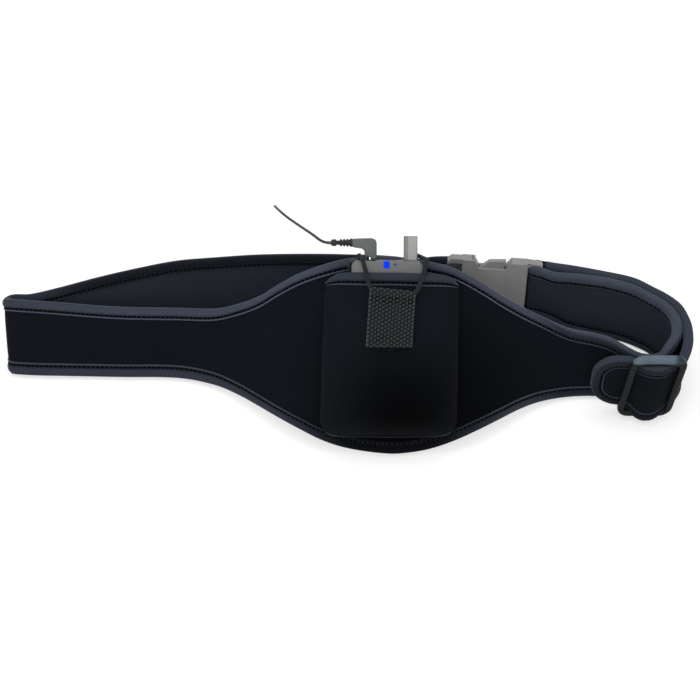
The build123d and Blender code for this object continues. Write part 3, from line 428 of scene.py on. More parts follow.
# The slider's upper bar carries a painted highlight.
slider_plastic = plastic_with_painted_highlight("slider_plastic", (0.0085, 0.0105, 0.0110), (0.115, 0.158, 0.196))
case_plastic = moulded("case_plastic", (0.140, 0.141, 0.143), 0.45, gloss=0.4)
case_back_plastic = moulded("case_back_plastic", (0.018, 0.018, 0.019), 0.5, gloss=0.15)
# The antenna's sides are darkened as painted shade.
antenna_rubber = moulded("antenna_rubber", (0.360, 0.364, 0.345), 0.55, painted_side_shade=(44.2, 2.6))
plug_rubber = moulded("plug_rubber", (0.094, 0.107, 0.101), 0.5)
boot_rubber = moulded("boot_rubber", (0.020, 0.024, 0.022), 0.5, gloss=0.25)
cord_rubber = moulded("cord_rubber", (0.020, 0.028, 0.025), 0.45)
dark_plastic = moulded("dark_plastic", (0.010, 0.010, 0.011), 0.5, gloss=0.2)
foam_rubber = moulded("foam_rubber", (0.008, 0.008, 0.009), 0.95, grain=0.4)
board_green = moulded("board_green", (0.010, 0.085, 0.030), 0.4)
cell_wrap = moulded("cell_wrap", (0.030, 0.034, 0.050), 0.3)
plated = metal("plated_metal", (0.80, 0.80, 0.78), 0.22)
steel = metal("steel", (0.55, 0.55, 0.56), 0.35)
blue_light = glowing("blue_light", (0.0, 0.040, 0.95), 0.95)
lamp_green = glowing("lamp_green", (0.10, 0.20, 0.12), 0.25)


# ---- mesh helpers ----
def linked(name, data):
    """A new object at the origin, put in the scene."""
    made = bpy.data.objects.new(name, data)
    bpy.context.scene.collection.objects.link(made)
    return made


def new_piece(name, mesh, material, body="belt", stands_for=()):
    """A finished piece that rides on a body and may stand for construction nodes."""
    made = linked(name, mesh)
    mesh.materials.clear()
    mesh.materials.append(material)
    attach(made, body)
    if stands_for:
        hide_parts(*stands_for)
    return made


def made_real(guide, name):
    """Turns what a curve or a modifier grows into a plain mesh and clears the guide away."""
    bpy.context.view_layer.update()
    seen = guide.evaluated_get(bpy.context.evaluated_depsgraph_get())
    mesh = bpy.data.meshes.new_from_object(seen)
    bpy.data.batch_remove([guide, guide.data])
    mesh.name = name
    return mesh


def smooth_shaded(mesh, angle=None):
    for face in mesh.polygons:
        face.use_smooth = True
    if angle is not None:
        mesh.set_sharp_from_angle(angle=radians(angle))


def outward_faces(mesh):
    work = bmesh.new()
    work.from_mesh(mesh)
    bmesh.ops.recalc_face_normals(work, faces=work.faces)
    work.to_mesh(mesh)
    work.free()


def swept(name, frames, sections):
    """Joins a row of closed sections into one capped skin with a map of run and girth in metres."""
    mesh = bpy.data.meshes.new(name)
    verts = []
    for (origin, out, up, _), section in zip(frames, sections):
        verts += [tuple((origin + out * a + up * b) * MM) for a, b in section]
    count = len(sections[0])
    last = len(sections) - 1
    faces = [
        (i * count + j, i * count + (j + 1) % count, (i + 1) * count + (j + 1) % count, (i + 1) * count + j)
        for i in range(last)
        for j in range(count)
    ]
    quads = len(faces)
    faces.append(tuple(range(count - 1, -1, -1)))
    faces.append(tuple(range(last * count, (last + 1) * count)))
    mesh.from_pydata(verts, [], faces)
    run = [0.0]
    for before, after in zip(frames, frames[1:]):
        run.append(run[-1] + (after[0] - before[0]).length * MM)
    girth = [0.0]
    loop = sections[len(sections) // 2]
    for (a, b), (a2, b2) in zip(loop, loop[1:] + loop[:1]):
        girth.append(girth[-1] + ((a - a2) ** 2 + (b - b2) ** 2) ** 0.5 * MM)
    layer = mesh.uv_layers.new(name="run")
    corners = []
    for number in range(quads):
        i, j = divmod(number, count)
        corners += [(i, j), (i, j + 1), (i + 1, j + 1), (i + 1, j)]
    corners += [(i, k) for i in (0, last) for k in range(count)]
    for corner, (i, j) in zip(layer.data, corners):
        corner.uv = (run[i], girth[j])
    smooth_shaded(mesh)
    outward_faces(mesh)
    return mesh


def reclothe(mesh, material, count, chosen):
    """Gives the chosen lengthwise strips of a swept skin another material."""
    mesh.materials.append(material)
    index = len(mesh.materials) - 1
    quads = len(mesh.polygons) // count * count
    for face in mesh.polygons:
        if face.index < quads and face.index % count in chosen:
            face.material_index = index


def rounded_edges(work, width, segments, profile):
    """Rounds the sharp edges as a mould leaves them, and cuts up the faces with many corners."""
    limit = radians(28.0)
    sharp = [e for e in work.edges if len(e.link_faces) == 2 and e.calc_face_angle(0) > limit]
    bmesh.ops.bevel(
        work, geom=sharp, offset=width * MM, segments=segments, profile=profile, affect="EDGES",
        clamp_overlap=True,
    )
    bmesh.ops.triangulate(work, faces=[f for f in work.faces if len(f.verts) > 4])


def softened(name, source, material, body, width, reshape=None):
    """The construction node's own shape, reshaped where it needs it, with rounded edges."""
    mesh = NODES[source].data.copy()
    mesh.name = name
    work = bmesh.new()
    work.from_mesh(mesh)
    bmesh.ops.remove_doubles(work, verts=work.verts, dist=1e-6)
    bmesh.ops.dissolve_limit(work, angle_limit=radians(2.0), verts=work.verts, edges=work.edges)
    if reshape:
        reshape(work)
    rounded_edges(work, width, 3, 0.6)
    work.to_mesh(mesh)
    work.free()
    smooth_shaded(mesh, 35)
    return new_piece(name, mesh, material, body, (source,))


def strand(name, points, radius, resolution, fineness):
    """A round strand's curve along a smooth line."""
    curve = bpy.data.curves.new(name, "CURVE")
    curve.dimensions = "3D"
    curve.resolution_u = resolution
    curve.bevel_depth = radius * MM
    curve.bevel_resolution = fineness
    curve.use_fill_caps = True
    spline = curve.splines.new("NURBS")
    spline.points.add(len(points) - 1)
    for point, co in zip(spline.points, points):
        point.co = (*(co * MM), 1)
    spline.order_u = 3
    spline.use_endpoint_u = True
    return curve


def tube(name, points, radius, material, body="belt", stands_for=()):
    """A round strand made a plain mesh with its run mapped."""
    mesh = made_real(linked(name + "_line", strand(name, points, radius, 6, 3)), name)
    if mesh.uv_layers:
        mesh.uv_layers[0].name = "run"
    smooth_shaded(mesh, 50)
    return new_piece(name, mesh, material, body, stands_for)


def prism(name, axes, depth, width, segments, *loops):
    """A moulded block: closed outlines drawn out to both sides, with well rounded edges."""
    origin, across, up, out = axes
    work = bmesh.new()
    edges = []
    for loop in loops:
        corners = [work.verts.new((origin + across * x + up * y - out * depth / 2) * MM) for x, y in loop]
        edges += [work.edges.new(pair) for pair in zip(corners, corners[1:] + corners[:1])]
    filled = bmesh.ops.triangle_fill(work, use_beauty=True, use_dissolve=True, edges=edges)
    flat = [g for g in filled["geom"] if isinstance(g, bmesh.types.BMFace)]
    drawn = bmesh.ops.extrude_face_region(work, geom=flat)
    moved = [g for g in drawn["geom"] if isinstance(g, bmesh.types.BMVert)]
    bmesh.ops.translate(work, verts=moved, vec=out * depth * MM)
    bmesh.ops.recalc_face_normals(work, faces=work.faces)
    rounded_edges(work, width, segments, 0.5)
    mesh = bpy.data.meshes.new(name)
    work.to_mesh(mesh)
    work.free()
    smooth_shaded(mesh, 40)
    return mesh


def rounded_box(x0, x1, y0, y1, radius, steps):
    """A rectangle's outline with round corners."""
    points = []
    for cx, cy, start in (
        (x1 - radius, y1 - radius, 0), (x0 + radius, y1 - radius, 90),
        (x0 + radius, y0 + radius, 180), (x1 - radius, y0 + radius, 270),
    ):
        for k in range(steps + 1):
            angle = radians(start + 90 * k / steps)
            points.append((cx + radius * cos(angle), cy + radius * sin(angle)))
    return points


def turned(name, start, axis, profile, around=28):
    """A turned piece's mesh: profile gives (distance along the axis, radius) pairs."""
    side = axis.orthogonal().normalized()
    circle = [(cos(2 * pi * k / around), sin(2 * pi * k / around)) for k in range(around)]
    frames = [(start + axis * reach, side, axis.cross(side), 0.0) for reach, _ in profile]
    mesh = swept(name, frames, [[(radius * a, radius * b) for a, b in circle] for _, radius in profile])
    smooth_shaded(mesh, 40)
    return mesh


# ---- rows of stitches ----
def stitch_tree():
    """Sews short stitches along the edges it is given, at an even pitch."""
    tree = bpy.data.node_groups.new("sewn_row", "GeometryNodeTree")
    kinds = {
        "Path": "Geometry", "Pitch": "Float", "Length": "Float", "Thickness": "Float",
        "Thread": "Material",
    }
    sockets = {
        label: tree.interface.new_socket(label, in_out="INPUT", socket_type="NodeSocket" + kind)
        for label, kind in kinds.items()
    }
    tree.interface.new_socket("Stitches", in_out="OUTPUT", socket_type="NodeSocketGeometry")
    given = tree.nodes.new("NodeGroupInput")
    path, pitch, length, thickness, yarn = [Wire(tree, given.outputs[label]) for label in kinds]
    line = node(tree, "GeometryNodeMeshToCurve", {}, {0: path})
    even = node(tree, "GeometryNodeResampleCurve", {"mode": "LENGTH"}, {"Curve": line, "Length": pitch})
    ball = node(tree, "GeometryNodeMeshUVSphere", {}, {"Segments": 8, "Rings": 5, "Radius": 0.5})
    shape = node(tree, "ShaderNodeCombineXYZ", {}, {0: length, 1: thickness, 2: thickness})
    bead = node(tree, "GeometryNodeTransform", {}, {"Geometry": ball, "Scale": shape})
    run = node(tree, "GeometryNodeInputTangent", {}, {})
    facing = node(
        tree, "GeometryNodeInputNamedAttribute", {"data_type": "FLOAT_VECTOR"}, {"Name": "facing"}
    )
    turn = node(
        tree, "FunctionNodeAxesToRotation", {"primary_axis": "X", "secondary_axis": "Z"},
        {0: run, 1: facing},
    )
    sewn = node(
        tree, "GeometryNodeInstanceOnPoints", {}, {"Points": even, "Instance": bead, "Rotation": turn}
    )
    real = node(tree, "GeometryNodeRealizeInstances", {}, {0: sewn})
    coat = node(tree, "GeometryNodeSetMaterial", {}, {"Geometry": real, "Material": yarn})
    result = tree.nodes.new("NodeGroupOutput")
    tree.links.new(coat.socket, result.inputs[0])
    return tree, {label: socket.identifier for label, socket in sockets.items()}


SEWN_ROW, SEWN_INPUTS = stitch_tree()


def sew(name, rows, body="belt", pitch=STITCH_PITCH, length=STITCH_LENGTH, thickness=YARN):
    """One piece with all the stitches along rows of (point, facing) pairs."""
    mesh = bpy.data.meshes.new(name + "_path")
    points, edges, facings = [], [], []
    for row in rows:
        first = len(points)
        points += [tuple(point * MM) for point, _ in row]
        facings += [facing for _, facing in row]
        edges += [(first + k, first + k + 1) for k in range(len(row) - 1)]
    mesh.from_pydata(points, edges, [])
    attribute = mesh.attributes.new("facing", "FLOAT_VECTOR", "POINT")
    for item, facing in zip(attribute.data, facings):
        item.vector = facing
    guide = linked(name + "_path", mesh)
    row_maker = guide.modifiers.new("sewn_row", "NODES")
    row_maker.node_group = SEWN_ROW
    sizes = {"Pitch": pitch * MM, "Length": length * MM, "Thickness": thickness * MM, "Thread": thread}
    for label, value in sizes.items():
        row_maker[SEWN_INPUTS[label]] = value
    sewn = made_real(guide, name)
    smooth_shaded(sewn)
    return new_piece(name, sewn, thread, body)


# ---- the strap's run ----
def station_frames(path):
    """Where a strap's foot is at each station, with the way it faces, its up and its width."""
    frames = []
    for index, (x, y, rise, tilt_x, tilt_y, height) in enumerate(path):
        before = path[max(index - 1, 0)]
        after = path[min(index + 1, len(path) - 1)]
        along = Vector((after[0] - before[0], after[1] - before[1], 0))
        up = Vector((tilt_x, tilt_y, 1)).normalized()
        out = along.cross(up).normalized()
        drop = min(out.z * TAPE_THICKNESS, -out.z * (STRAP_THICKNESS + TAPE_THICKNESS))
        foot = Vector((x, y, rise + TAPE_THICKNESS * up.z - drop)) + LOBE_FOOT
        frames.append((foot, out, up, height))
    return frames


buckle_up = Vector((
    sin(BUCKLE_LEAN) * sin(BUCKLE_TURN), sin(BUCKLE_LEAN) * cos(BUCKLE_TURN), cos(BUCKLE_LEAN)
))
buckle_along = Vector((cos(BUCKLE_TURN), -sin(BUCKLE_TURN), 0))
buckle_out = buckle_along.cross(buckle_up)
buckle_centre = BUCKLE_FOOT + buckle_up * (STRAP_WIDTH / 2)


def on_buckle(x, y, z):
    """A point by its place along the buckle, up it and out of the ring."""
    return buckle_centre + buckle_along * x + buckle_up * y + buckle_out * z


def bar_frames(bar_x, angles, outside=False):
    """The strap's frames as it goes round one of the buckle's bars."""
    radius = BAR_RADIUS + (STRAP_THICKNESS if outside else 0.0)
    centre = buckle_centre + buckle_along * bar_x - buckle_up * (BAR_STRAP_WIDTH / 2)
    frames = []
    for angle in angles:
        radial = buckle_along * cos(radians(angle)) - buckle_out * sin(radians(angle))
        facing = radial if outside else -radial
        frames.append((centre + radial * radius, facing, buckle_up, BAR_STRAP_WIDTH))
    return frames


def eased(frames, step):
    """A smooth run through the stations, with a frame about every step of its length."""
    reach = [0.0]
    for before, after in zip(frames, frames[1:]):
        reach.append(reach[-1] + max((after[0] - before[0]).length, 0.05))
    values = [(*f[0], *f[1], *f[2], f[3]) for f in frames]
    slopes = []
    for i in range(len(frames)):
        a, b = max(i - 1, 0), min(i + 1, len(frames) - 1)
        slopes.append([(values[b][k] - values[a][k]) / (reach[b] - reach[a]) for k in range(10)])
    result = []
    for i in range(len(frames) - 1):
        span = reach[i + 1] - reach[i]
        pieces = max(1, round(span / step))
        for piece in range(pieces + (i == len(frames) - 2)):
            t = piece / pieces
            h00, h10 = 2 * t**3 - 3 * t**2 + 1, t**3 - 2 * t**2 + t
            h01, h11 = -2 * t**3 + 3 * t**2, t**3 - t**2
            row = [
                h00 * values[i][k] + h10 * span * slopes[i][k]
                + h01 * values[i + 1][k] + h11 * span * slopes[i + 1][k]
                for k in range(10)
            ]
            out = Vector(row[3:6]).normalized()
            up = Vector(row[6:9])
            up = (up - out * up.dot(out)).normalized()
            result.append((Vector(row[0:3]), out, up, row[9]))
    return result


bar_rise = (STRAP_WIDTH - BAR_STRAP_WIDTH) / 2
buckle_tilt = tan(BUCKLE_LEAN)
fold_radius = STRAP_THICKNESS + TAPE_THICKNESS + 0.8
FOLD_X, FOLD_Y = -254.8, 74.0
FOLD_STRETCH = 1.15
FOLD_HEIGHTS = {80: 48.0, 120: 48.0, 160: 49.2, 200: 51.0, 240: 52.0, 280: 52.0}
# Each station gives x, y, the foot's rise, the tilts to the right and backwards, and the height.
LEFT_END = [
    (22.0, 124.3, bar_rise, 0.0, buckle_tilt, BAR_STRAP_WIDTH),
    (34.0, 127.0, bar_rise, 0.0, buckle_tilt, BAR_STRAP_WIDTH),
]
BACK_LEFT = [
    (34.0, 122.2, bar_rise, 0.0, buckle_tilt, BAR_STRAP_WIDTH),
    (22.0, 123.6, 2.4, 0.0, 0.31, 41.5),
    (8.0, 125.0, 0.0, 0.0, 0.32, 46.3),
    (-30.0, 126.6, 0.0, 0.0, 0.33, 46.6),
    (-60.0, 127.0, 0.0, 0.0, 0.33, 46.6),
    (-90.0, 126.0, 0.0, 0.0, 0.34, 46.6),
    (-118.0, 123.2, 0.0, 0.0, 0.35, 46.6),
    (-145.0, 117.5, 0.0, 0.0, 0.38, STRAP_WIDTH),
    (-172.0, 109.4, 0.0, 0.0, 0.42, STRAP_WIDTH),
    (-199.0, 99.0, 0.0, 0.0, 0.50, STRAP_WIDTH),
    (-226.0, 87.6, 0.0, 0.0, 0.58, STRAP_WIDTH),
    (-243.0, 81.0, 0.0, -0.03, 0.64, STRAP_WIDTH),
]
LEFT_FOLD = [
    (
        FOLD_X + fold_radius * cos(radians(angle)),
        FOLD_Y + fold_radius * sin(radians(angle)) * FOLD_STRETCH, 0.0, -0.008, 0.66, height,
    )
    for angle, height in FOLD_HEIGHTS.items()
]
FRONT = [
    (-240.0, 66.4, 0.0, -0.01, 0.67, 51.6),
    (-224.5, 66.0, 0.0, 0.0, 0.67, 50.7),
    (-183.0, 65.0, 0.0, 0.0, 0.67, 48.3),
    (-142.0, 64.0, 0.0, 0.0, 0.70, STRAP_WIDTH),
    (-117.0, 57.0, 1.0, 0.0, 0.75, 52.0),
    (-99.5, 45.7, 4.0, 0.0, 0.81, 62.0),
    (-85.0, 33.6, 7.0, 0.0, 0.87, 74.0),
    (-71.5, 22.5, 9.0, 0.0, 0.90, 88.5),
    (-58.0, 13.4, 9.0, 0.0, 0.90, 102.0),
    (-42.0, 5.6, 6.4, 0.0, 0.90, 115.0),
    (-25.0, 2.2, 2.5, 0.0, 0.90, 124.0),
    (0.0, 0.0, 0.0, 0.0, 0.90, 128.5),
    (14.0, 0.5, 0.5, 0.0, 0.90, 126.5),
    (28.0, 2.2, 2.5, 0.0, 0.90, 121.5),
    (43.0, 5.6, 6.4, 0.0, 0.90, 112.5),
    (60.5, 13.4, 9.0, 0.0, 0.90, 96.0),
    (74.0, 22.4, 8.0, 0.0, 0.81, 82.5),
    (88.5, 33.0, 5.5, 0.0, 0.70, 69.5),
    (103.0, 42.0, 2.0, 0.0, 0.58, 59.5),
    (121.0, 47.7, 0.0, 0.0, 0.47, 49.6),
    (138.0, 49.0, 0.0, 0.0, 0.38, 46.2),
    (148.0, 48.0, 0.0, 0.0, 0.32, 44.9),
    (158.0, 45.0, 0.0, 0.0, 0.29, 41.4),
    (168.0, 41.8, 0.0, 0.0, 0.26, 39.6),
]
RIGHT_TURN = [
    (179.0, 41.0, 0.0, 0.03, 0.22, 42.0),
    (187.0, 46.5, 0.0, 0.01, 0.22, 45.6),
    (192.3, 55.0, 0.0, 0.02, 0.20, 47.4),
    (194.6, 65.0, 0.0, 0.02, 0.17, STRAP_WIDTH),
    (194.8, 75.0, 0.0, 0.02, 0.13, 47.0),
    (191.5, 85.0, 0.0, 0.03, 0.10, 46.5),
    (185.5, 92.0, 0.0, 0.04, 0.11, 46.3),
    (178.0, 97.0, 0.0, 0.04, 0.14, 46.3),
    (168.0, 102.0, 0.0, 0.03, 0.21, 46.3),
    (151.0, 107.0, 0.0, 0.01, 0.27, 46.0),
    (130.0, 112.6, 1.0, 0.0, 0.30, 43.0),
    (118.0, 116.4, bar_rise, 0.0, buckle_tilt, BAR_STRAP_WIDTH),
]
TAIL = [
    (153.0, 35.6, TAIL_RISE + 2.7, 0.0, SLIDER_TILT, TAIL_WIDTH),
    (156.0, 35.6, TAIL_RISE + 2.2, 0.0, SLIDER_TILT, TAIL_WIDTH + 0.4),
    (159.4, 34.8, TAIL_RISE - 0.8, 0.0, SLIDER_TILT, TAIL_WIDTH + 2.0),
    (168.4, 27.4, TAIL_RISE - 3.4, 0.0, SLIDER_TILT, TAIL_WIDTH + 6.6),
    (177.2, 27.4, TAIL_RISE - 3.0, 0.0, SLIDER_TILT, TAIL_WIDTH + 6.2),
    (186.4, 34.6, TAIL_RISE - 0.8, 0.0, SLIDER_TILT, TAIL_WIDTH + 2.4),
    (189.4, 36.8, TAIL_RISE - 2.6, 0.04, SLIDER_TILT, TAIL_WIDTH + 2.4),
    (193.6, 43.8, 1.2, 0.06, 0.08, 47.0),
    (199.5, 54.0, 0.0, 0.02, 0.09, STRAP_WIDTH),
    (201.2, 65.0, 0.0, 0.02, 0.11, STRAP_WIDTH),
    (201.3, 76.0, 0.0, 0.02, 0.12, 46.0),
    (197.8, 88.0, 0.0, 0.03, 0.10, 45.8),
    (190.3, 97.0, 0.0, 0.04, 0.11, 45.5),
    (181.0, 103.2, 0.0, 0.04, 0.14, 45.5),
    (169.5, 108.6, 0.0, 0.03, 0.21, 46.0),
    (151.5, 113.7, 0.0, 0.01, 0.27, 45.2),
    (130.0, 119.6, 0.8, 0.0, 0.30, 43.6),
    (118.0, 125.2, bar_rise, 0.0, buckle_tilt, BAR_STRAP_WIDTH),
]


# ---- strap and tape sections ----
CLOTH_STEP = 4.0
TAPE_STEP = 3.2
WING_START, WING_SPAN = -40.0, 60.0
WING_WIDER = 0.19


def strap_section(height):
    """A closed loop round the strap: squeezed under the tape and slightly full between."""
    under_tape = 7.0
    squeeze = 0.3
    fullness = 0.55
    spread = 3.0
    near = [0.0, 0.5, 2.0, 4.5, 6.6, 7.4, 8.6, 10.5, 14.0]
    middle = [near[-1] + (height - 2 * near[-1]) * k / 6 for k in range(1, 6)]
    levels = near + middle + [height - d for d in reversed(near)]

    def full(level):
        inside = min(level, height - level) - under_tape
        return -squeeze if inside < 0 else fullness * (1 - exp(-inside / spread)) - squeeze

    back = [(-STRAP_THICKNESS - full(level), level) for level in reversed(levels)]
    return [(full(level), level) for level in levels] + back


def tape_section(height, side, thickness=STRAP_THICKNESS, scale=1.0):
    """The folded tape round one edge: a padded roll, the sewn groove and the narrow hem."""
    edge, way = (height, -1) if side < 0 else (0.0, 1)
    proud = min(1.0, scale + 0.15)
    outer = [(a * proud, edge + way * d * scale) for d, a in TAPE_FACE]
    back = [(-thickness - a * proud, edge + way * d * scale) for d, a in reversed(TAPE_FACE)]
    rim = [(-thickness / 2, edge - way * 0.6)]
    return outer + rim + back


def grooved(mesh):
    """Gives the sewn grooves on both faces of a tape their own cloth."""
    count = 2 * len(TAPE_FACE) + 1
    mirrored = tuple(count - 2 - j for j in GROOVE_STRIPS)
    reclothe(mesh, groove_cloth, count, GROOVE_STRIPS + mirrored)


def tape_rows(frames, side, scales):
    """The lines that the tape's stitches follow on its two faces."""
    rows = []
    for face, depth in ((1, 0.1), (-1, -STRAP_THICKNESS - 0.1)):
        row = []
        for (origin, out, up, height), scale in zip(frames, scales):
            level = height - GROOVE * scale if side < 0 else GROOVE * scale
            row.append((origin + up * level + out * depth, out * face))
        rows.append(row)
    return rows


def tape_breadth(frame_here, side):
    """How broad the tape is at a place: the lower one is wider along the left wing."""
    if side < 0:
        return 1.0
    share = min(1.0, max(0.0, (WING_START - frame_here[0].x) / WING_SPAN))
    return 1.0 + WING_WIDER * share * share * (3 - 2 * share)


# ---- belt ----
ring = station_frames(BACK_LEFT + LEFT_FOLD + FRONT + RIGHT_TURN)
whole_belt = (
    station_frames(LEFT_END) + bar_frames(MALE_BAR_X, (90, 45, 0, -45, -90)) + ring
    + bar_frames(FEMALE_BAR_X, (-90, -135, 180, 135, 90))
)
belt_run = eased(whole_belt, CLOTH_STEP)
belt_mesh = swept("belt_cloth", belt_run, [strap_section(f[3]) for f in belt_run])
new_piece("belt_cloth", belt_mesh, neoprene, stands_for=("belt_panel",))
strap_count = len(strap_section(STRAP_WIDTH))
inner_strips = range(strap_count // 2, strap_count - 1)
reclothe(belt_mesh, inner_face_cloth, strap_count, inner_strips)

taped_run = eased(whole_belt, TAPE_STEP)
for label, side, node_name in (("top", -1, "belt_binding_top"), ("bottom", 1, "belt_binding_bottom")):
    breadths = [tape_breadth(f, side) for f in taped_run]
    sections = [tape_section(f[3], side, scale=broad) for f, broad in zip(taped_run, breadths)]
    mesh = swept("binding_" + label, taped_run, sections)
    new_piece("binding_" + label, mesh, tape_cloth, stands_for=(node_name,))
    grooved(mesh)
    sew("stitches_" + label, tape_rows(taped_run, side, breadths))

# ---- tail strap with its rounded tongue ----
TONGUE_LENGTH = 19.0
TONGUE_ROUND = 18.0
TONGUE_STEPS = 10
tail_stations = station_frames(TAIL)
tongue_foot, tongue_out, tongue_up, tongue_height = tail_stations[0]
tongue_along = -(tail_stations[1][0] - tongue_foot).normalized()
tongue_straight = tongue_along * (TONGUE_LENGTH - TONGUE_ROUND)


def tongue_frames():
    """Frames beyond the strap's end whose height shrinks round the tongue's corners."""
    frames = []
    for k in range(TONGUE_STEPS, 0, -1):
        angle = pi / 2 * k / TONGUE_STEPS
        cut = TONGUE_ROUND * (1 - cos(angle))
        foot = tongue_foot + tongue_straight + tongue_along * TONGUE_ROUND * sin(angle) + tongue_up * cut
        frames.append((foot, tongue_out, tongue_up, tongue_height - 2 * cut))
    return frames


def tip_section(height):
    """The same loop as the strap's, drawn in evenly where the tongue narrows."""
    return [(a, v * height / tongue_height) for a, v in strap_section(tongue_height)]


tail_run = eased(tail_stations + bar_frames(FEMALE_BAR_X, (90,), outside=True), TAPE_STEP)
tip_run = tongue_frames()
tail_sections = [tip_section(f[3]) for f in tip_run] + [strap_section(f[3]) for f in tail_run]
tail_mesh = swept("tail_cloth", tip_run + tail_run, tail_sections)
new_piece("tail_cloth", tail_mesh, neoprene, stands_for=("tail_strap",))
reclothe(tail_mesh, inner_face_cloth, strap_count, inner_strips)


def tail_edge_frames():
    """Frames along the tail's edge: along its bottom, round the tongue and back along its top."""
    covered = tail_run[:-2]
    frames = [(origin, out, -up, 0.0) for origin, out, up, _ in reversed(covered)]
    for k in range(1, 2 * TONGUE_STEPS):
        angle = radians(90 * k / TONGUE_STEPS - 90)
        level = TONGUE_ROUND if k < TONGUE_STEPS else tongue_height - TONGUE_ROUND
        away = tongue_along * cos(angle) + tongue_up * sin(angle)
        corner = tongue_foot + tongue_up * level + tongue_straight
        frames.append((corner + away * TONGUE_ROUND, tongue_out, away, 0.0))
    frames += [(origin + up * height, out, up, 0.0) for origin, out, up, height in covered]
    return frames


edge_run = tail_edge_frames()
edge_mesh = swept("tail_tape", edge_run, [tape_section(0.0, -1)] * len(edge_run))
new_piece("tail_tape", edge_mesh, tail_tape_cloth, stands_for=("tail_binding",))
grooved(edge_mesh)
sew("tail_stitches", tape_rows(edge_run, -1, [1.0] * len(edge_run)))

# ---- pocket ----
POCKET_FULL = 2.35  # 2 is a round section, more is a boxier one
POCKET_POWER = 2 / POCKET_FULL
SKIN_SPARE = 0.2
POCKET_TAPER = 1.7
POCKET_LEAN = 2.1
FOOT_CURVE = 24.0
CORNER_HEIGHT, CORNER_CUT = 9.0, 8.0
MOUTH_TOP = POCKET_TOP + 2.4
MOUTH_DROP = 7.0
MOUTH_SLOPE = 1.7
MOUTH_REACH = 20.0
MOUTH_BARE = 4  # steps without a stitch at each side seam
FOOT_LEVELS = (0, 0.5, 1.2, 2.2, 3.6, 5.4, 7.6, 10.2, 13.4, 17, 21, 26)
BODY_LEVELS = 18
SKIN_STEPS = 44
MOUTH_STEPS = 60


def pocket_share(u, height):
    """How far up a stretch above the pocket's bottom a place is, from 0 to 1."""
    return min(1.0, max(0.0, (u - POCKET_BOTTOM) / height))


def pocket_climb(u):
    """How far up the pocket a height is: 0 at its bottom and 1 at its top."""
    return (u - POCKET_BOTTOM) / (POCKET_TOP - POCKET_BOTTOM)


def pocket_rise(u):
    """How far the pocket stands out at a height, rounding away to its bottom seam."""
    return POCKET_RISE * (0.10 + 0.90 * (1 - (1 - pocket_share(u, FOOT_CURVE)) ** 2.2) ** 0.75)


def pocket_half(u):
    """Half the pocket's width at a height: rounded bottom corners, and slightly narrower upwards."""
    corner = CORNER_CUT * (1 - (1 - (1 - pocket_share(u, CORNER_HEIGHT)) ** 2) ** 0.5)
    return POCKET_HALF + SKIN_SPARE - POCKET_TAPER * max(0.0, pocket_climb(u)) - corner


def side_share(angle):
    """How near a place on the pocket's mouth is to its side seams, from 0 to 1."""
    reach = abs(cos(radians(angle))) ** POCKET_POWER
    return min(1.0, max(0.0, (reach - 0.5) / 0.5)) ** 4.2


def mouth_height(angle):
    right = max(0.0, cos(radians(angle)))
    return MOUTH_TOP - MOUTH_DROP * side_share(angle) - MOUTH_SLOPE * right


def pocket_point(u, angle, depth=0.0):
    """A point of the pocket's skin: angle 180 at its left foot, 0 at its right foot."""
    half, rise = pocket_half(u) - depth, pocket_rise(u) - depth
    c, s = cos(radians(angle)), sin(radians(angle))
    x = half * (1 if c > 0 else -1) * abs(c) ** POCKET_POWER
    return on_lobe(x + POCKET_LEAN * pocket_climb(u), u, POCKET_GAP + rise * max(s, 0.0) ** POCKET_POWER)


def pocket_angles(count):
    return [180 - 180 * k / count for k in range(count + 1)]


def pocket_skin():
    """The pocket's outer skin, row by row from under its bottom seam up to its curved mouth."""
    angles = pocket_angles(SKIN_STEPS)
    low = POCKET_BOTTOM + FOOT_LEVELS[-1]
    rows = [[pocket_point(POCKET_BOTTOM + d, angle) for angle in angles] for d in FOOT_LEVELS]
    for k in range(1, BODY_LEVELS + 1):
        rows.append([
            pocket_point(low + (mouth_height(angle) - low) * k / BODY_LEVELS, angle) for angle in angles
        ])
    rows.insert(0, [
        on_lobe(point.x - LOBE_FOOT.x, POCKET_BOTTOM - 0.4, POCKET_GAP) for point in rows[0]
    ])
    count = len(angles)
    faces = [
        (i * count + j, i * count + j + 1, (i + 1) * count + j + 1, (i + 1) * count + j)
        for i in range(len(rows) - 1)
        for j in range(count - 1)
    ]
    mesh = bpy.data.meshes.new("pocket_skin")
    mesh.from_pydata([tuple(point * MM) for row in rows for point in row], [], faces)
    layer = mesh.uv_layers.new(name="run")
    for loop, corner in zip(mesh.loops, layer.data):
        co = mesh.vertices[loop.vertex_index].co
        corner.uv = (co.x + co.y * 0.3, co.z * 1.3)
    return mesh


skin = linked("pocket_skin", pocket_skin())
wall = skin.modifiers.new("wall", "SOLIDIFY")
wall.thickness = POCKET_WALL * MM
wall.offset = -1.0
wall.use_even_offset = True
pocket_mesh = made_real(skin, "pocket_cloth")
smooth_shaded(pocket_mesh)
new_piece("pocket_cloth", pocket_mesh, pocket_cloth, stands_for=("pocket_panel",))


def mouth_frames(angles):
    """Frames along the pocket's mouth, facing out of its skin, each as tall as the tape."""
    frames = []
    for k, angle in enumerate(angles):
        before = pocket_point(POCKET_TOP, angles[max(k - 1, 0)])
        after = pocket_point(POCKET_TOP, angles[min(k + 1, len(angles) - 1)])
        out = (after - before).normalized().cross(lobe_up).normalized()
        foot = pocket_point(mouth_height(angle), angle) - lobe_up * MOUTH_REACH
        frames.append((foot, out, lobe_up, MOUTH_REACH))
    return frames


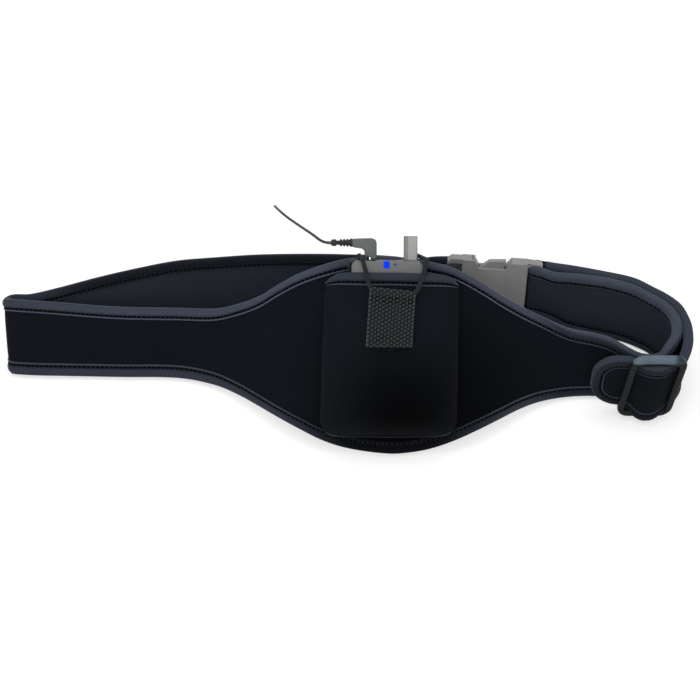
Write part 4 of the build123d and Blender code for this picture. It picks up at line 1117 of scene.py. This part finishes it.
mouth_angles = pocket_angles(MOUTH_STEPS)
mouth_scales = [1.0 - 0.72 * side_share(angle) for angle in mouth_angles]
mouth_run = mouth_frames(mouth_angles)
mouth_sections = [tape_section(MOUTH_REACH, -1, POCKET_WALL, scale) for scale in mouth_scales]
mouth_mesh = swept("pocket_tape", mouth_run, mouth_sections)
new_piece("pocket_tape", mouth_mesh, mouth_cloth, stands_for=("pocket_binding",))
grooved(mouth_mesh)
sew("pocket_stitches", [
    tape_rows(mouth_run[MOUTH_BARE:-MOUTH_BARE], -1, mouth_scales[MOUTH_BARE:-MOUTH_BARE])[0]
])

SEAM_RADIUS = 0.45
SEAM_PROUD = 0.2
PIPING_RADIUS = 0.5
SEAM_LEVELS = (106, 96, 84, 68, 52, 38, 27, 20)
BOTTOM_HALF = (
    (43.4, 20.0, 0.4), (42.2, 16.2, 0.8), (38.8, 13.0, 1.4), (34.0, 12.1, 2.0), (22.0, 11.9, 2.6),
    (8.0, 11.8, 2.9),
)
for name, angle in (("left_seam", 180), ("right_seam", 0)):
    seam_line = [pocket_point(u, angle, -SEAM_PROUD) for u in SEAM_LEVELS]
    tube(name, seam_line, SEAM_RADIUS, groove_cloth)
bottom_line = [on_lobe(-x, u, POCKET_GAP + depth) for x, u, depth in BOTTOM_HALF]
bottom_line += [on_lobe(x, u, POCKET_GAP + depth) for x, u, depth in reversed(BOTTOM_HALF)]
tube("bottom_seam", bottom_line, PIPING_RADIUS, tape_cloth)

# ---- elastic loop and pull tab ----
ELASTIC_RADIUS = 1.36
TAB_TURN = radians(-6.0)
TAB_SKEW = 0.04
TAB_SHORTER = 0.085  # how much shorter the tab is at its right side
TAB_CORNER = 13.0
TAB_HEM, HEM_FULL = 6.0, 0.55
TAB_RIM, TAB_END = 0.7, 0.8
TAB_SAG = 0.5
SLEEVE_DOWN, SLEEVE_FULL = 2.6, 1.3
OVER_ELASTIC = 1.9
SLEEVE_RADIUS = 2.3
TAB_DEPTH = POCKET_GAP + POCKET_RISE + 1.0 + SLEEVE_RADIUS
OVER_UNIT = UNIT_TOP + 1.5
BEHIND_LOBE = -STRAP_THICKNESS - TAPE_THICKNESS - 1.4
PATCH_LOW, PATCH_HIGH = 104.0, 118.0
tab_centre = on_lobe(1.8, 108.8, TAB_DEPTH)
tab_along = rightwards * cos(TAB_TURN) + lobe_up * sin(TAB_TURN)
tab_down = tab_along.cross(lobe_out).normalized()
# The loop's route: up behind the lobe, over the transmitter, down to the sleeve, and back.
up_left = (
    (-20.0, PATCH_LOW, BEHIND_LOBE), (-20.0, PATCH_HIGH, BEHIND_LOBE),
    (-19.4, OVER_UNIT + 0.4, BEHIND_LOBE + 0.3), (-18.8, OVER_UNIT + 0.9, -2.6),
    (-17.6, OVER_UNIT - 0.2, 12.0), (-17.2, OVER_UNIT - 0.3, UNIT_FRONT),
    (-16.6, OVER_UNIT - 1.9, UNIT_FRONT + 2.0), (-14.6, POCKET_TOP + 2.0, TAB_DEPTH - 0.6),
    (-13.0, POCKET_TOP - 4.5, TAB_DEPTH),
)
in_sleeve = (
    (-TAB_CORNER, 0.3), (3.0 - TAB_CORNER, 0.0), (0.0, 0.0), (TAB_CORNER - 2.0, 0.0),
    (TAB_CORNER + 1.2, 0.3),
)
down_right = (
    (18.6, POCKET_TOP - 5.0, TAB_DEPTH), (20.4, POCKET_TOP + 2.0, TAB_DEPTH - 0.6),
    (23.6, OVER_UNIT - 2.1, UNIT_FRONT + 2.0), (23.8, OVER_UNIT - 0.6, UNIT_FRONT - 0.4),
    (22.0, OVER_UNIT - 0.3, 12.0), (18.6, OVER_UNIT + 0.7, -2.6),
    (17.9, OVER_UNIT + 0.4, BEHIND_LOBE + 0.3), (17.5, PATCH_HIGH, BEHIND_LOBE),
    (17.5, PATCH_LOW, BEHIND_LOBE),
)
elastic_line = [on_lobe(*point) for point in up_left]
elastic_line += [tab_centre + tab_along * x + lobe_up * rise for x, rise in in_sleeve]
elastic_line += [on_lobe(*point) for point in down_right]
tube(
    "elastic_band", elastic_line, ELASTIC_RADIUS, elastic_braid,
    stands_for=("elastic_loop",),
)


def on_tab(x, down, out):
    """A point by its place across the tab, down it from the elastic, and out of it."""
    if down > 0:
        x += TAB_SKEW * down
        down *= 1 - TAB_SHORTER * (x / TAB_WIDTH + 0.5)
    return tab_centre + tab_along * x + tab_down * down + lobe_out * out


WEAVE_START = 20  # columns and half as many rows, so that the pattern's counts stay above zero


def weave(x, down):
    """The height of the webbing's threads: warp floats that step half a row each column."""
    column = x / WARP_PITCH + WEAVE_START
    number = int(column)
    part = column - number
    phase = down / WEFT_PITCH + 0.5 * (number % 2) + WEFT_SLANT * part
    return 0.95 * abs(sin(pi * part)) ** CROWN_ACROSS * abs(sin(pi * phase)) ** CROWN_ALONG


def tab_height(x, down, side):
    """How far the tab's face or back stands out at a place, rounded off at its edges."""
    rim = min(1.0, (TAB_WIDTH / 2 - abs(x)) / TAB_RIM)
    end = min(1.0, min(down + OVER_ELASTIC, TAB_LENGTH - down) / TAB_END)
    hem = HEM_FULL if down > TAB_LENGTH - TAB_HEM else 0.0
    over = SLEEVE_FULL * (1 - ((down - 0.3) / SLEEVE_DOWN) ** 2) if down < SLEEVE_DOWN else 0.0
    sag = TAB_SAG * sin(pi * x / TAB_WIDTH * 0.8 + 0.6) * (down / TAB_LENGTH) ** 2
    middle = -TAB_THICKNESS / 2 + sag
    if side > 0:
        out = 0.15 + over + weave(x, down) * rim + hem + sag
    else:
        out = -TAB_THICKNESS + 0.35 - 0.3 * hem - 0.5 * weave(x, down) * rim + sag
    squeeze = (max(end, 0.0) ** 0.5) * (0.35 + 0.65 * max(rim, 0.0) ** 0.5)
    return middle + (out - middle) * squeeze


def tab_mesh():
    """The tab's face and back as two fine sheets that are sewn together round their edge."""
    mesh = bpy.data.meshes.new("pull_tab_webbing")
    columns, rows = 112, 132
    xs = [TAB_WIDTH * (k / columns - 0.5) for k in range(columns + 1)]
    downs = [(TAB_LENGTH + OVER_ELASTIC) * k / rows - OVER_ELASTIC for k in range(rows + 1)]
    verts = [
        tuple(on_tab(x, down, tab_height(x, down, side)) * MM)
        for side in (1, -1)
        for down in downs
        for x in xs
    ]
    count = columns + 1
    sheet = (rows + 1) * count
    faces = []
    for side in (0, 1):
        for r in range(rows):
            for c in range(columns):
                a = side * sheet + r * count + c
                quad = (a, a + 1, a + count + 1, a + count)
                faces.append(quad if side else quad[::-1])
    rim = [*range(count), *(r * count + columns for r in range(1, rows + 1))]
    rim += [rows * count + c for c in range(columns - 1, -1, -1)]
    rim += [r * count for r in range(rows - 1, 0, -1)]
    faces += [(a, b, sheet + b, sheet + a) for a, b in zip(rim, rim[1:] + rim[:1])]
    mesh.from_pydata(verts, [], faces)
    layer = mesh.uv_layers.new(name="run")
    for loop, corner in zip(mesh.loops, layer.data):
        row, column = divmod(loop.vertex_index % sheet, count)
        run = xs[column] + WEAVE_START * WARP_PITCH
        corner.uv = (run * MM, (downs[row] + WEAVE_START / 2 * WEFT_PITCH) * MM)
    smooth_shaded(mesh)
    outward_faces(mesh)
    return mesh


new_piece("pull_tab_webbing", tab_mesh(), webbing, body="tab", stands_for=("pull_tab",))
tack_rows = [
    [(on_tab(-12.5 + 2.5 * k, level, height), lobe_out) for k in range(11)]
    for level, height in ((4.2, 0.75), (6.6, 0.75), (TAB_LENGTH - 4.6, 1.25))
]
sew("tab_stitches", tack_rows, body="tab", pitch=2.4, length=2.0, thickness=0.5)
loose_line = [on_tab(x, TAB_LENGTH + below, out) for x, below, out in (
    (3.0, -1.4, 0.5), (3.8, 1.2, 0.9), (0.0, 2.2, 1.0), (-3.0, 1.0, 0.8), (-3.2, -1.2, 0.4),
)]
tube("loose_thread", loose_line, 0.2, groove_cloth, body="tab")

# ---- transmitter, antenna, buckle and slider ----
# Along the buckle: the socket's end, its window's two ends and its strap bar's rails, first as the
# construction model has them and then as they are drawn.
SOCKET_MADE = (-17.5, -1.5, 10.0, 28.5)
SOCKET_DRAWN = (-17.5, -6.2, 14.6, 28.5)
WINDOW_FOOT = 17.0
TONGUE_END = -27.5
TONGUE_OVERLAP = 1.7
SOCKET_CORNER = -7.7
BUCKLE_SCALE = 0.905
BUCKLE_TAPER = 0.0012


def widened_back(work):
    """Carries the rear shell's left wall out to its real rim."""
    for vert in work.verts:
        if (vert.co / MM - lobe_origin).x < -16.0:
            vert.co.x -= 2.4 * MM


def buckle_place(vert):
    """Where a vertex is along the buckle, up it and out of the ring."""
    at = vert.co / MM - buckle_centre
    return at.dot(buckle_along), at.dot(buckle_up), at.dot(buckle_out)


def sign(y):
    return 1 if y > 0 else -1


def window_reach(x, climb):
    """Where a place on the socket is drawn: its side windows are longer, with sloping walls."""
    if abs(x - SOCKET_MADE[1]) < 0.6:
        return -5.3 - 2.4 * climb
    if abs(x - SOCKET_MADE[2]) < 0.6:
        return 12.2 + 5.2 * climb
    for low, high, drawn_low, drawn_high in zip(
        SOCKET_MADE, SOCKET_MADE[1:], SOCKET_DRAWN, SOCKET_DRAWN[1:]
    ):
        if low < x < high:
            return drawn_low + (x - low) * (drawn_high - drawn_low) / (high - low)
    return x


def pressed_in(work):
    """Draws the buckle's sides in towards the socket's end, where the strap covers its rails."""
    for vert in work.verts:
        x, y, z = buckle_place(vert)
        if x > SOCKET_MADE[3] and abs(y) > 20.5:
            y = (20.3 + (abs(y) - 20.5) * 0.8) * sign(y)
        if abs(x - SOCKET_MADE[0]) < 1.0 and abs(y) < 21.0:
            x -= TONGUE_OVERLAP
        y *= BUCKLE_SCALE - BUCKLE_TAPER * (x - MALE_BAR_X)
        vert.co = on_buckle(x, y, z) * MM


def sloped_corner(work, end, reach, depth):
    """Slopes a block's outer corners off, between its end and a place further along it."""
    bmesh.ops.bisect_plane(
        work, geom=[*work.verts, *work.edges, *work.faces],
        plane_co=on_buckle(end + reach, 0, 0) * MM, plane_no=buckle_along,
    )
    for vert in work.verts:
        x, y, z = buckle_place(vert)
        share = 1 - (x - end) / reach
        if 0 < share < 1.4 and abs(y) > 19.0:
            vert.co = on_buckle(x, y - depth * min(1.0, share) * sign(y), z) * MM


def pressed_socket(work):
    """The socket's long side windows first, then its drawn-in sides and its rim's corners."""
    for vert in work.verts:
        x, y, z = buckle_place(vert)
        climb = (abs(y) - WINDOW_FOOT) / 8.0
        if abs(y) > WINDOW_FOOT - 0.1:
            vert.co = on_buckle(window_reach(x, climb), y, z) * MM
    pressed_in(work)
    sloped_corner(work, SOCKET_CORNER, -1.6, 1.7)


def pressed_tongue(work):
    pressed_in(work)
    sloped_corner(work, TONGUE_END, 2.9, 2.5)


def pressed_prong(work):
    """The prong's long ramp, from its notch up to the flat that a thumb presses."""
    for vert in work.verts:
        x, y, z = buckle_place(vert)
        climb = (abs(y) - WINDOW_FOOT) / 7.5
        if climb > -0.02:
            low, high = -0.9 + 0.6 * climb, 9.1 - 0.7 * climb
            drawn_low, drawn_high = -5.2 + 7.6 * climb, 11.5 + 1.7 * climb
            share = (x - low) / (high - low)
            vert.co = on_buckle(drawn_low + share * (drawn_high - drawn_low), y, z) * MM
    pressed_in(work)


softened("case_front", "front_shell", case_plastic, "belt", 0.45)
softened("case_rear", "rear_shell", case_back_plastic, "belt", 0.6, widened_back)
softened("stub_antenna", "antenna_cover", antenna_rubber, "belt", 0.5)
for name, source, body, width, reshape in (
    ("socket_half", "buckle_socket", "belt", 0.5, pressed_socket),
    ("tongue_half", "buckle_tongue", "belt", 0.5, pressed_tongue),
    ("prong_top", "buckle_prong_upper", "prong_upper", 0.4, pressed_prong),
    ("prong_low", "buckle_prong_lower", "prong_lower", 0.4, pressed_prong),
):
    softened(name, source, buckle_plastic, body, width, reshape)
softened("slide_switch", "switch_knob", dark_plastic, "switch", 0.2)
softened("indicator", "status_led", blue_light, "belt", 0.9)
softened("anchor_patch", "elastic_anchor", webbing, "belt", 0.5)

slider_up = Vector((SLIDER_LEAN, SLIDER_TILT, 1)).normalized()
slider_origin = LOBE_FOOT + Vector((SLIDER_X, SLIDER_Y, 0.0))
slider_axes = (slider_origin, rightwards, slider_up, rightwards.cross(slider_up).normalized())
adjuster_mesh = prism(
    "adjuster", slider_axes, SLIDER_THICKNESS, 1.1, 3,
    rounded_box(-18.4, 18.0, 3.6, 60.8, 8.6, 6),
    rounded_box(-13.9, -2.0, 9.0, 53.2, 1.6, 2),
    rounded_box(2.0, 13.4, 7.6, 53.2, 1.6, 2),
)
new_piece("adjuster", adjuster_mesh, slider_plastic, "belt", ("strap_slider",))

plug_axes = (on_lobe(0.0, 0.0, TOP_DEPTH), rightwards, lobe_up, lobe_out)
plug_outline = [
    (-23.4, 141.0), (-11.4, 141.4), (-8.9, 140.6), (-8.0, 138.6), (-8.0, 128.4), (-11.6, 128.4),
    (-12.2, 129.8), (-15.6, 130.0), (-15.8, 133.6), (-17.2, 135.0), (-23.4, 135.9),
]
plug_mesh = prism("plug_head", plug_axes, PLUG_THICKNESS, 1.5, 4, plug_outline)
new_piece("plug_head", plug_mesh, plug_rubber, "plug", ("plug_body",))

# The nodes that are shown as the construction model has them.
KEPT = {
    "battery_door": case_plastic, "level_lamp": lamp_green, "circuit_board": board_green,
    "battery_cells": cell_wrap, "battery_contacts": plated, "battery_springs": steel,
    "shell_screws": steel, "antenna_whip": steel, "switch_body": dark_plastic,
    "jack_socket": dark_plastic, "plug_pin": plated, "mic_capsule": dark_plastic, "coil_tie": webbing,
    "mic_windscreen": foam_rubber,
}
for name, material in KEPT.items():
    NODES[name].data.materials.clear()
    NODES[name].data.materials.append(material)

boot_profile = [(0.0, BOOT_RADIUS)]
for k in range(4):
    start = 0.4 + 2.1 * k
    rib = BOOT_RADIUS - 0.12 * k
    neck = rib - 0.8
    boot_profile += [(start, rib), (start + 1.2, rib), (start + 1.35, neck), (start + 2.0, neck)]
boot_profile += [(9.2, 1.35), (10.1, 1.35), (10.3, 2.2), (13.0, 2.1), (13.35, 1.6), (BOOT_LENGTH, 1.2)]
boot_start = on_lobe(CORD_EXIT + BOOT_LENGTH, CORD_LEVEL, TOP_DEPTH)
boot_mesh = turned("ribbed_boot", boot_start, -rightwards, boot_profile)
new_piece("ribbed_boot", boot_mesh, boot_rubber, "plug", ("plug_boot",))

# ---- microphone cord ----
cord_exit = on_lobe(CORD_EXIT, CORD_LEVEL, TOP_DEPTH)
CORD_ROUTE = [
    (-40.4, 85.2, 113.7), (-44.1, 87.7, 113.4), (-48.9, 95.1, 111.2), (-55.1, 108.3, 103.3),
    (-62.8, 124.4, 94.0), (-69.4, 137.5, 87.2), (-74.7, 150.4, 80.6), (-77.4, 162.1, 72.1),
    (-77.5, 169.5, 63.9), (-76.5, 174.6, 57.1), (-72.2, 179.1, 46.5), (-66.3, 182.5, 36.7),
    (-58.8, 184.1, 27.9), (-52.4, 184.0, 21.8), (-47.1, 182.4, 17.4), (-42.9, 181.8, 15.2),
    (-36.0, 182.2, 14.3), (-27.9, 182.2, 14.1), (-20.5, 181.6, 14.1), (-14.3, 179.4, 13.1),
    (-10.6, 175.7, 11.4), (-7.4, 170.6, 9.0),
]
COIL_CENTRE = Vector((-14.3, 160.4, 0.0)) + LOBE_FOOT
COIL_RADII = (10.2, 12.0, 13.8)
COIL_LEVELS = (7.3, 5.5, 3.7, 1.9)
CURVE_DRAW = 1.026  # a smooth curve runs inside the points it is given
TURN_POINTS = 12
LAST_POINTS = 8
MIC_LEAD = ((-19.0, -12.0, 2.6), (-37.0, -5.0, 4.6), (-44.0, -5.0, 4.6), (-52.0, -5.0, 4.6))


def coil_points():
    """The coil's turns from the top layer down, each layer winding the other way across."""
    lanes, layers = len(COIL_RADII), len(COIL_LEVELS)
    turns = lanes * layers
    points = []
    for k in range(TURN_POINTS * turns + LAST_POINTS):
        angle = radians(60.0 - 360.0 * k / TURN_POINTS)
        turn = min(k / TURN_POINTS, turns - 0.001)
        layer = int(turn // lanes)
        share = turn - lanes * layer
        radii = COIL_RADII if layer % 2 else COIL_RADII[::-1]
        low = radii[int(share)]
        high = radii[min(int(share) + 1, lanes - 1)]
        change = max(0.0, share % 1.0 - 0.75) * 4
        radius = (low + (high - low) * change) * CURVE_DRAW
        next_level = COIL_LEVELS[min(layer + 1, layers - 1)]
        drop = min(1.0, max(0.0, share - (lanes - 0.25)) * 4)
        level = COIL_LEVELS[layer] + (next_level - COIL_LEVELS[layer]) * drop
        points.append(COIL_CENTRE + Vector((radius * cos(angle), radius * sin(angle), level)))
    return points


cord_line = [cord_exit, *(Vector(point) + LOBE_FOOT for point in CORD_ROUTE)]
cord_line += coil_points()
cord_line += [COIL_CENTRE + Vector(offset) for offset in MIC_LEAD]
cord_curve = strand("microphone_cord", cord_line, CORD_RADIUS, 5, 2)
cord_curve.materials.append(cord_rubber)
cord = linked("microphone_cord", cord_curve)
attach(cord, "plug")
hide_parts("mic_cord", "mic_lead", "cord_coil")

# ---- floor, light and camera ----
FLOOR_HALF = 6.0
FLOOR_GLOW = 0.36  # the share of the floor that shines white to the camera, over its shadow
floor_mesh = bpy.data.meshes.new("floor")
floor_corners = [(x * FLOOR_HALF, y * FLOOR_HALF, 0) for x, y in ((-1, -1), (1, -1), (1, 1), (-1, 1))]
floor_mesh.from_pydata(floor_corners, [], [(0, 1, 2, 3)])
floor = linked("floor", floor_mesh)
floor_material, tree, shader = finish("pale_floor", (0.93, 0.93, 0.92), 0.9, Specular_IOR_Level=0.1)
to_camera = node(tree, "ShaderNodeLightPath", {}, {})
glow = node(tree, "ShaderNodeEmission", {}, {"Color": (1, 1, 1, 1), "Strength": 1.5})
mixed = node(tree, "ShaderNodeMixShader", {}, {
    0: to_camera * FLOOR_GLOW, 1: Wire(tree, shader.outputs[0]), 2: glow,
})
tree.links.new(mixed.socket, tree.nodes["Material Output"].inputs["Surface"])
floor_mesh.materials.append(floor_material)

world = bpy.data.worlds.new("studio")
bpy.context.scene.world = world
world.use_nodes = True
sky = world.node_tree
backdrop = sky.nodes["Background"]
backdrop.inputs["Color"].default_value = (1, 1, 1, 1)
sky_level = node(sky, "ShaderNodeLightPath", {}, {}) * 0.45 + 0.55
sky.links.new(sky_level.socket, backdrop.inputs["Strength"])


def softbox(name, place_at, width, height, power, colour=(1, 1, 1)):
    """A rectangular lamp aimed at the belt."""
    light = bpy.data.lights.new(name, "AREA")
    light.shape = "RECTANGLE"
    light.size, light.size_y = width, height
    light.energy = power
    light.color = colour
    made = linked(name, light)
    made.location = place_at
    made.rotation_euler = (Vector((0.0, 0.0, 0.05)) - made.location).to_track_quat("-Z", "Y").to_euler()


softbox("overhead", (-0.10, 0.25, 1.6), 1.4, 1.0, 9.0, (0.95, 0.98, 1.0))
softbox("front", (-0.35, -1.5, 1.5), 1.6, 1.2, 13.0)

camera_data = bpy.data.cameras.new("camera")
camera_data.lens = 70.0
camera_data.sensor_width = 36.0
camera_data.clip_end = 20.0
camera = linked("camera", camera_data)
camera.location = (0.004575, -0.593536, 0.731572)
camera.rotation_euler = (radians(40.0), 0.0, 0.0)
bpy.context.scene.camera = camera
bpy.context.scene.view_settings.view_transform = "Standard"
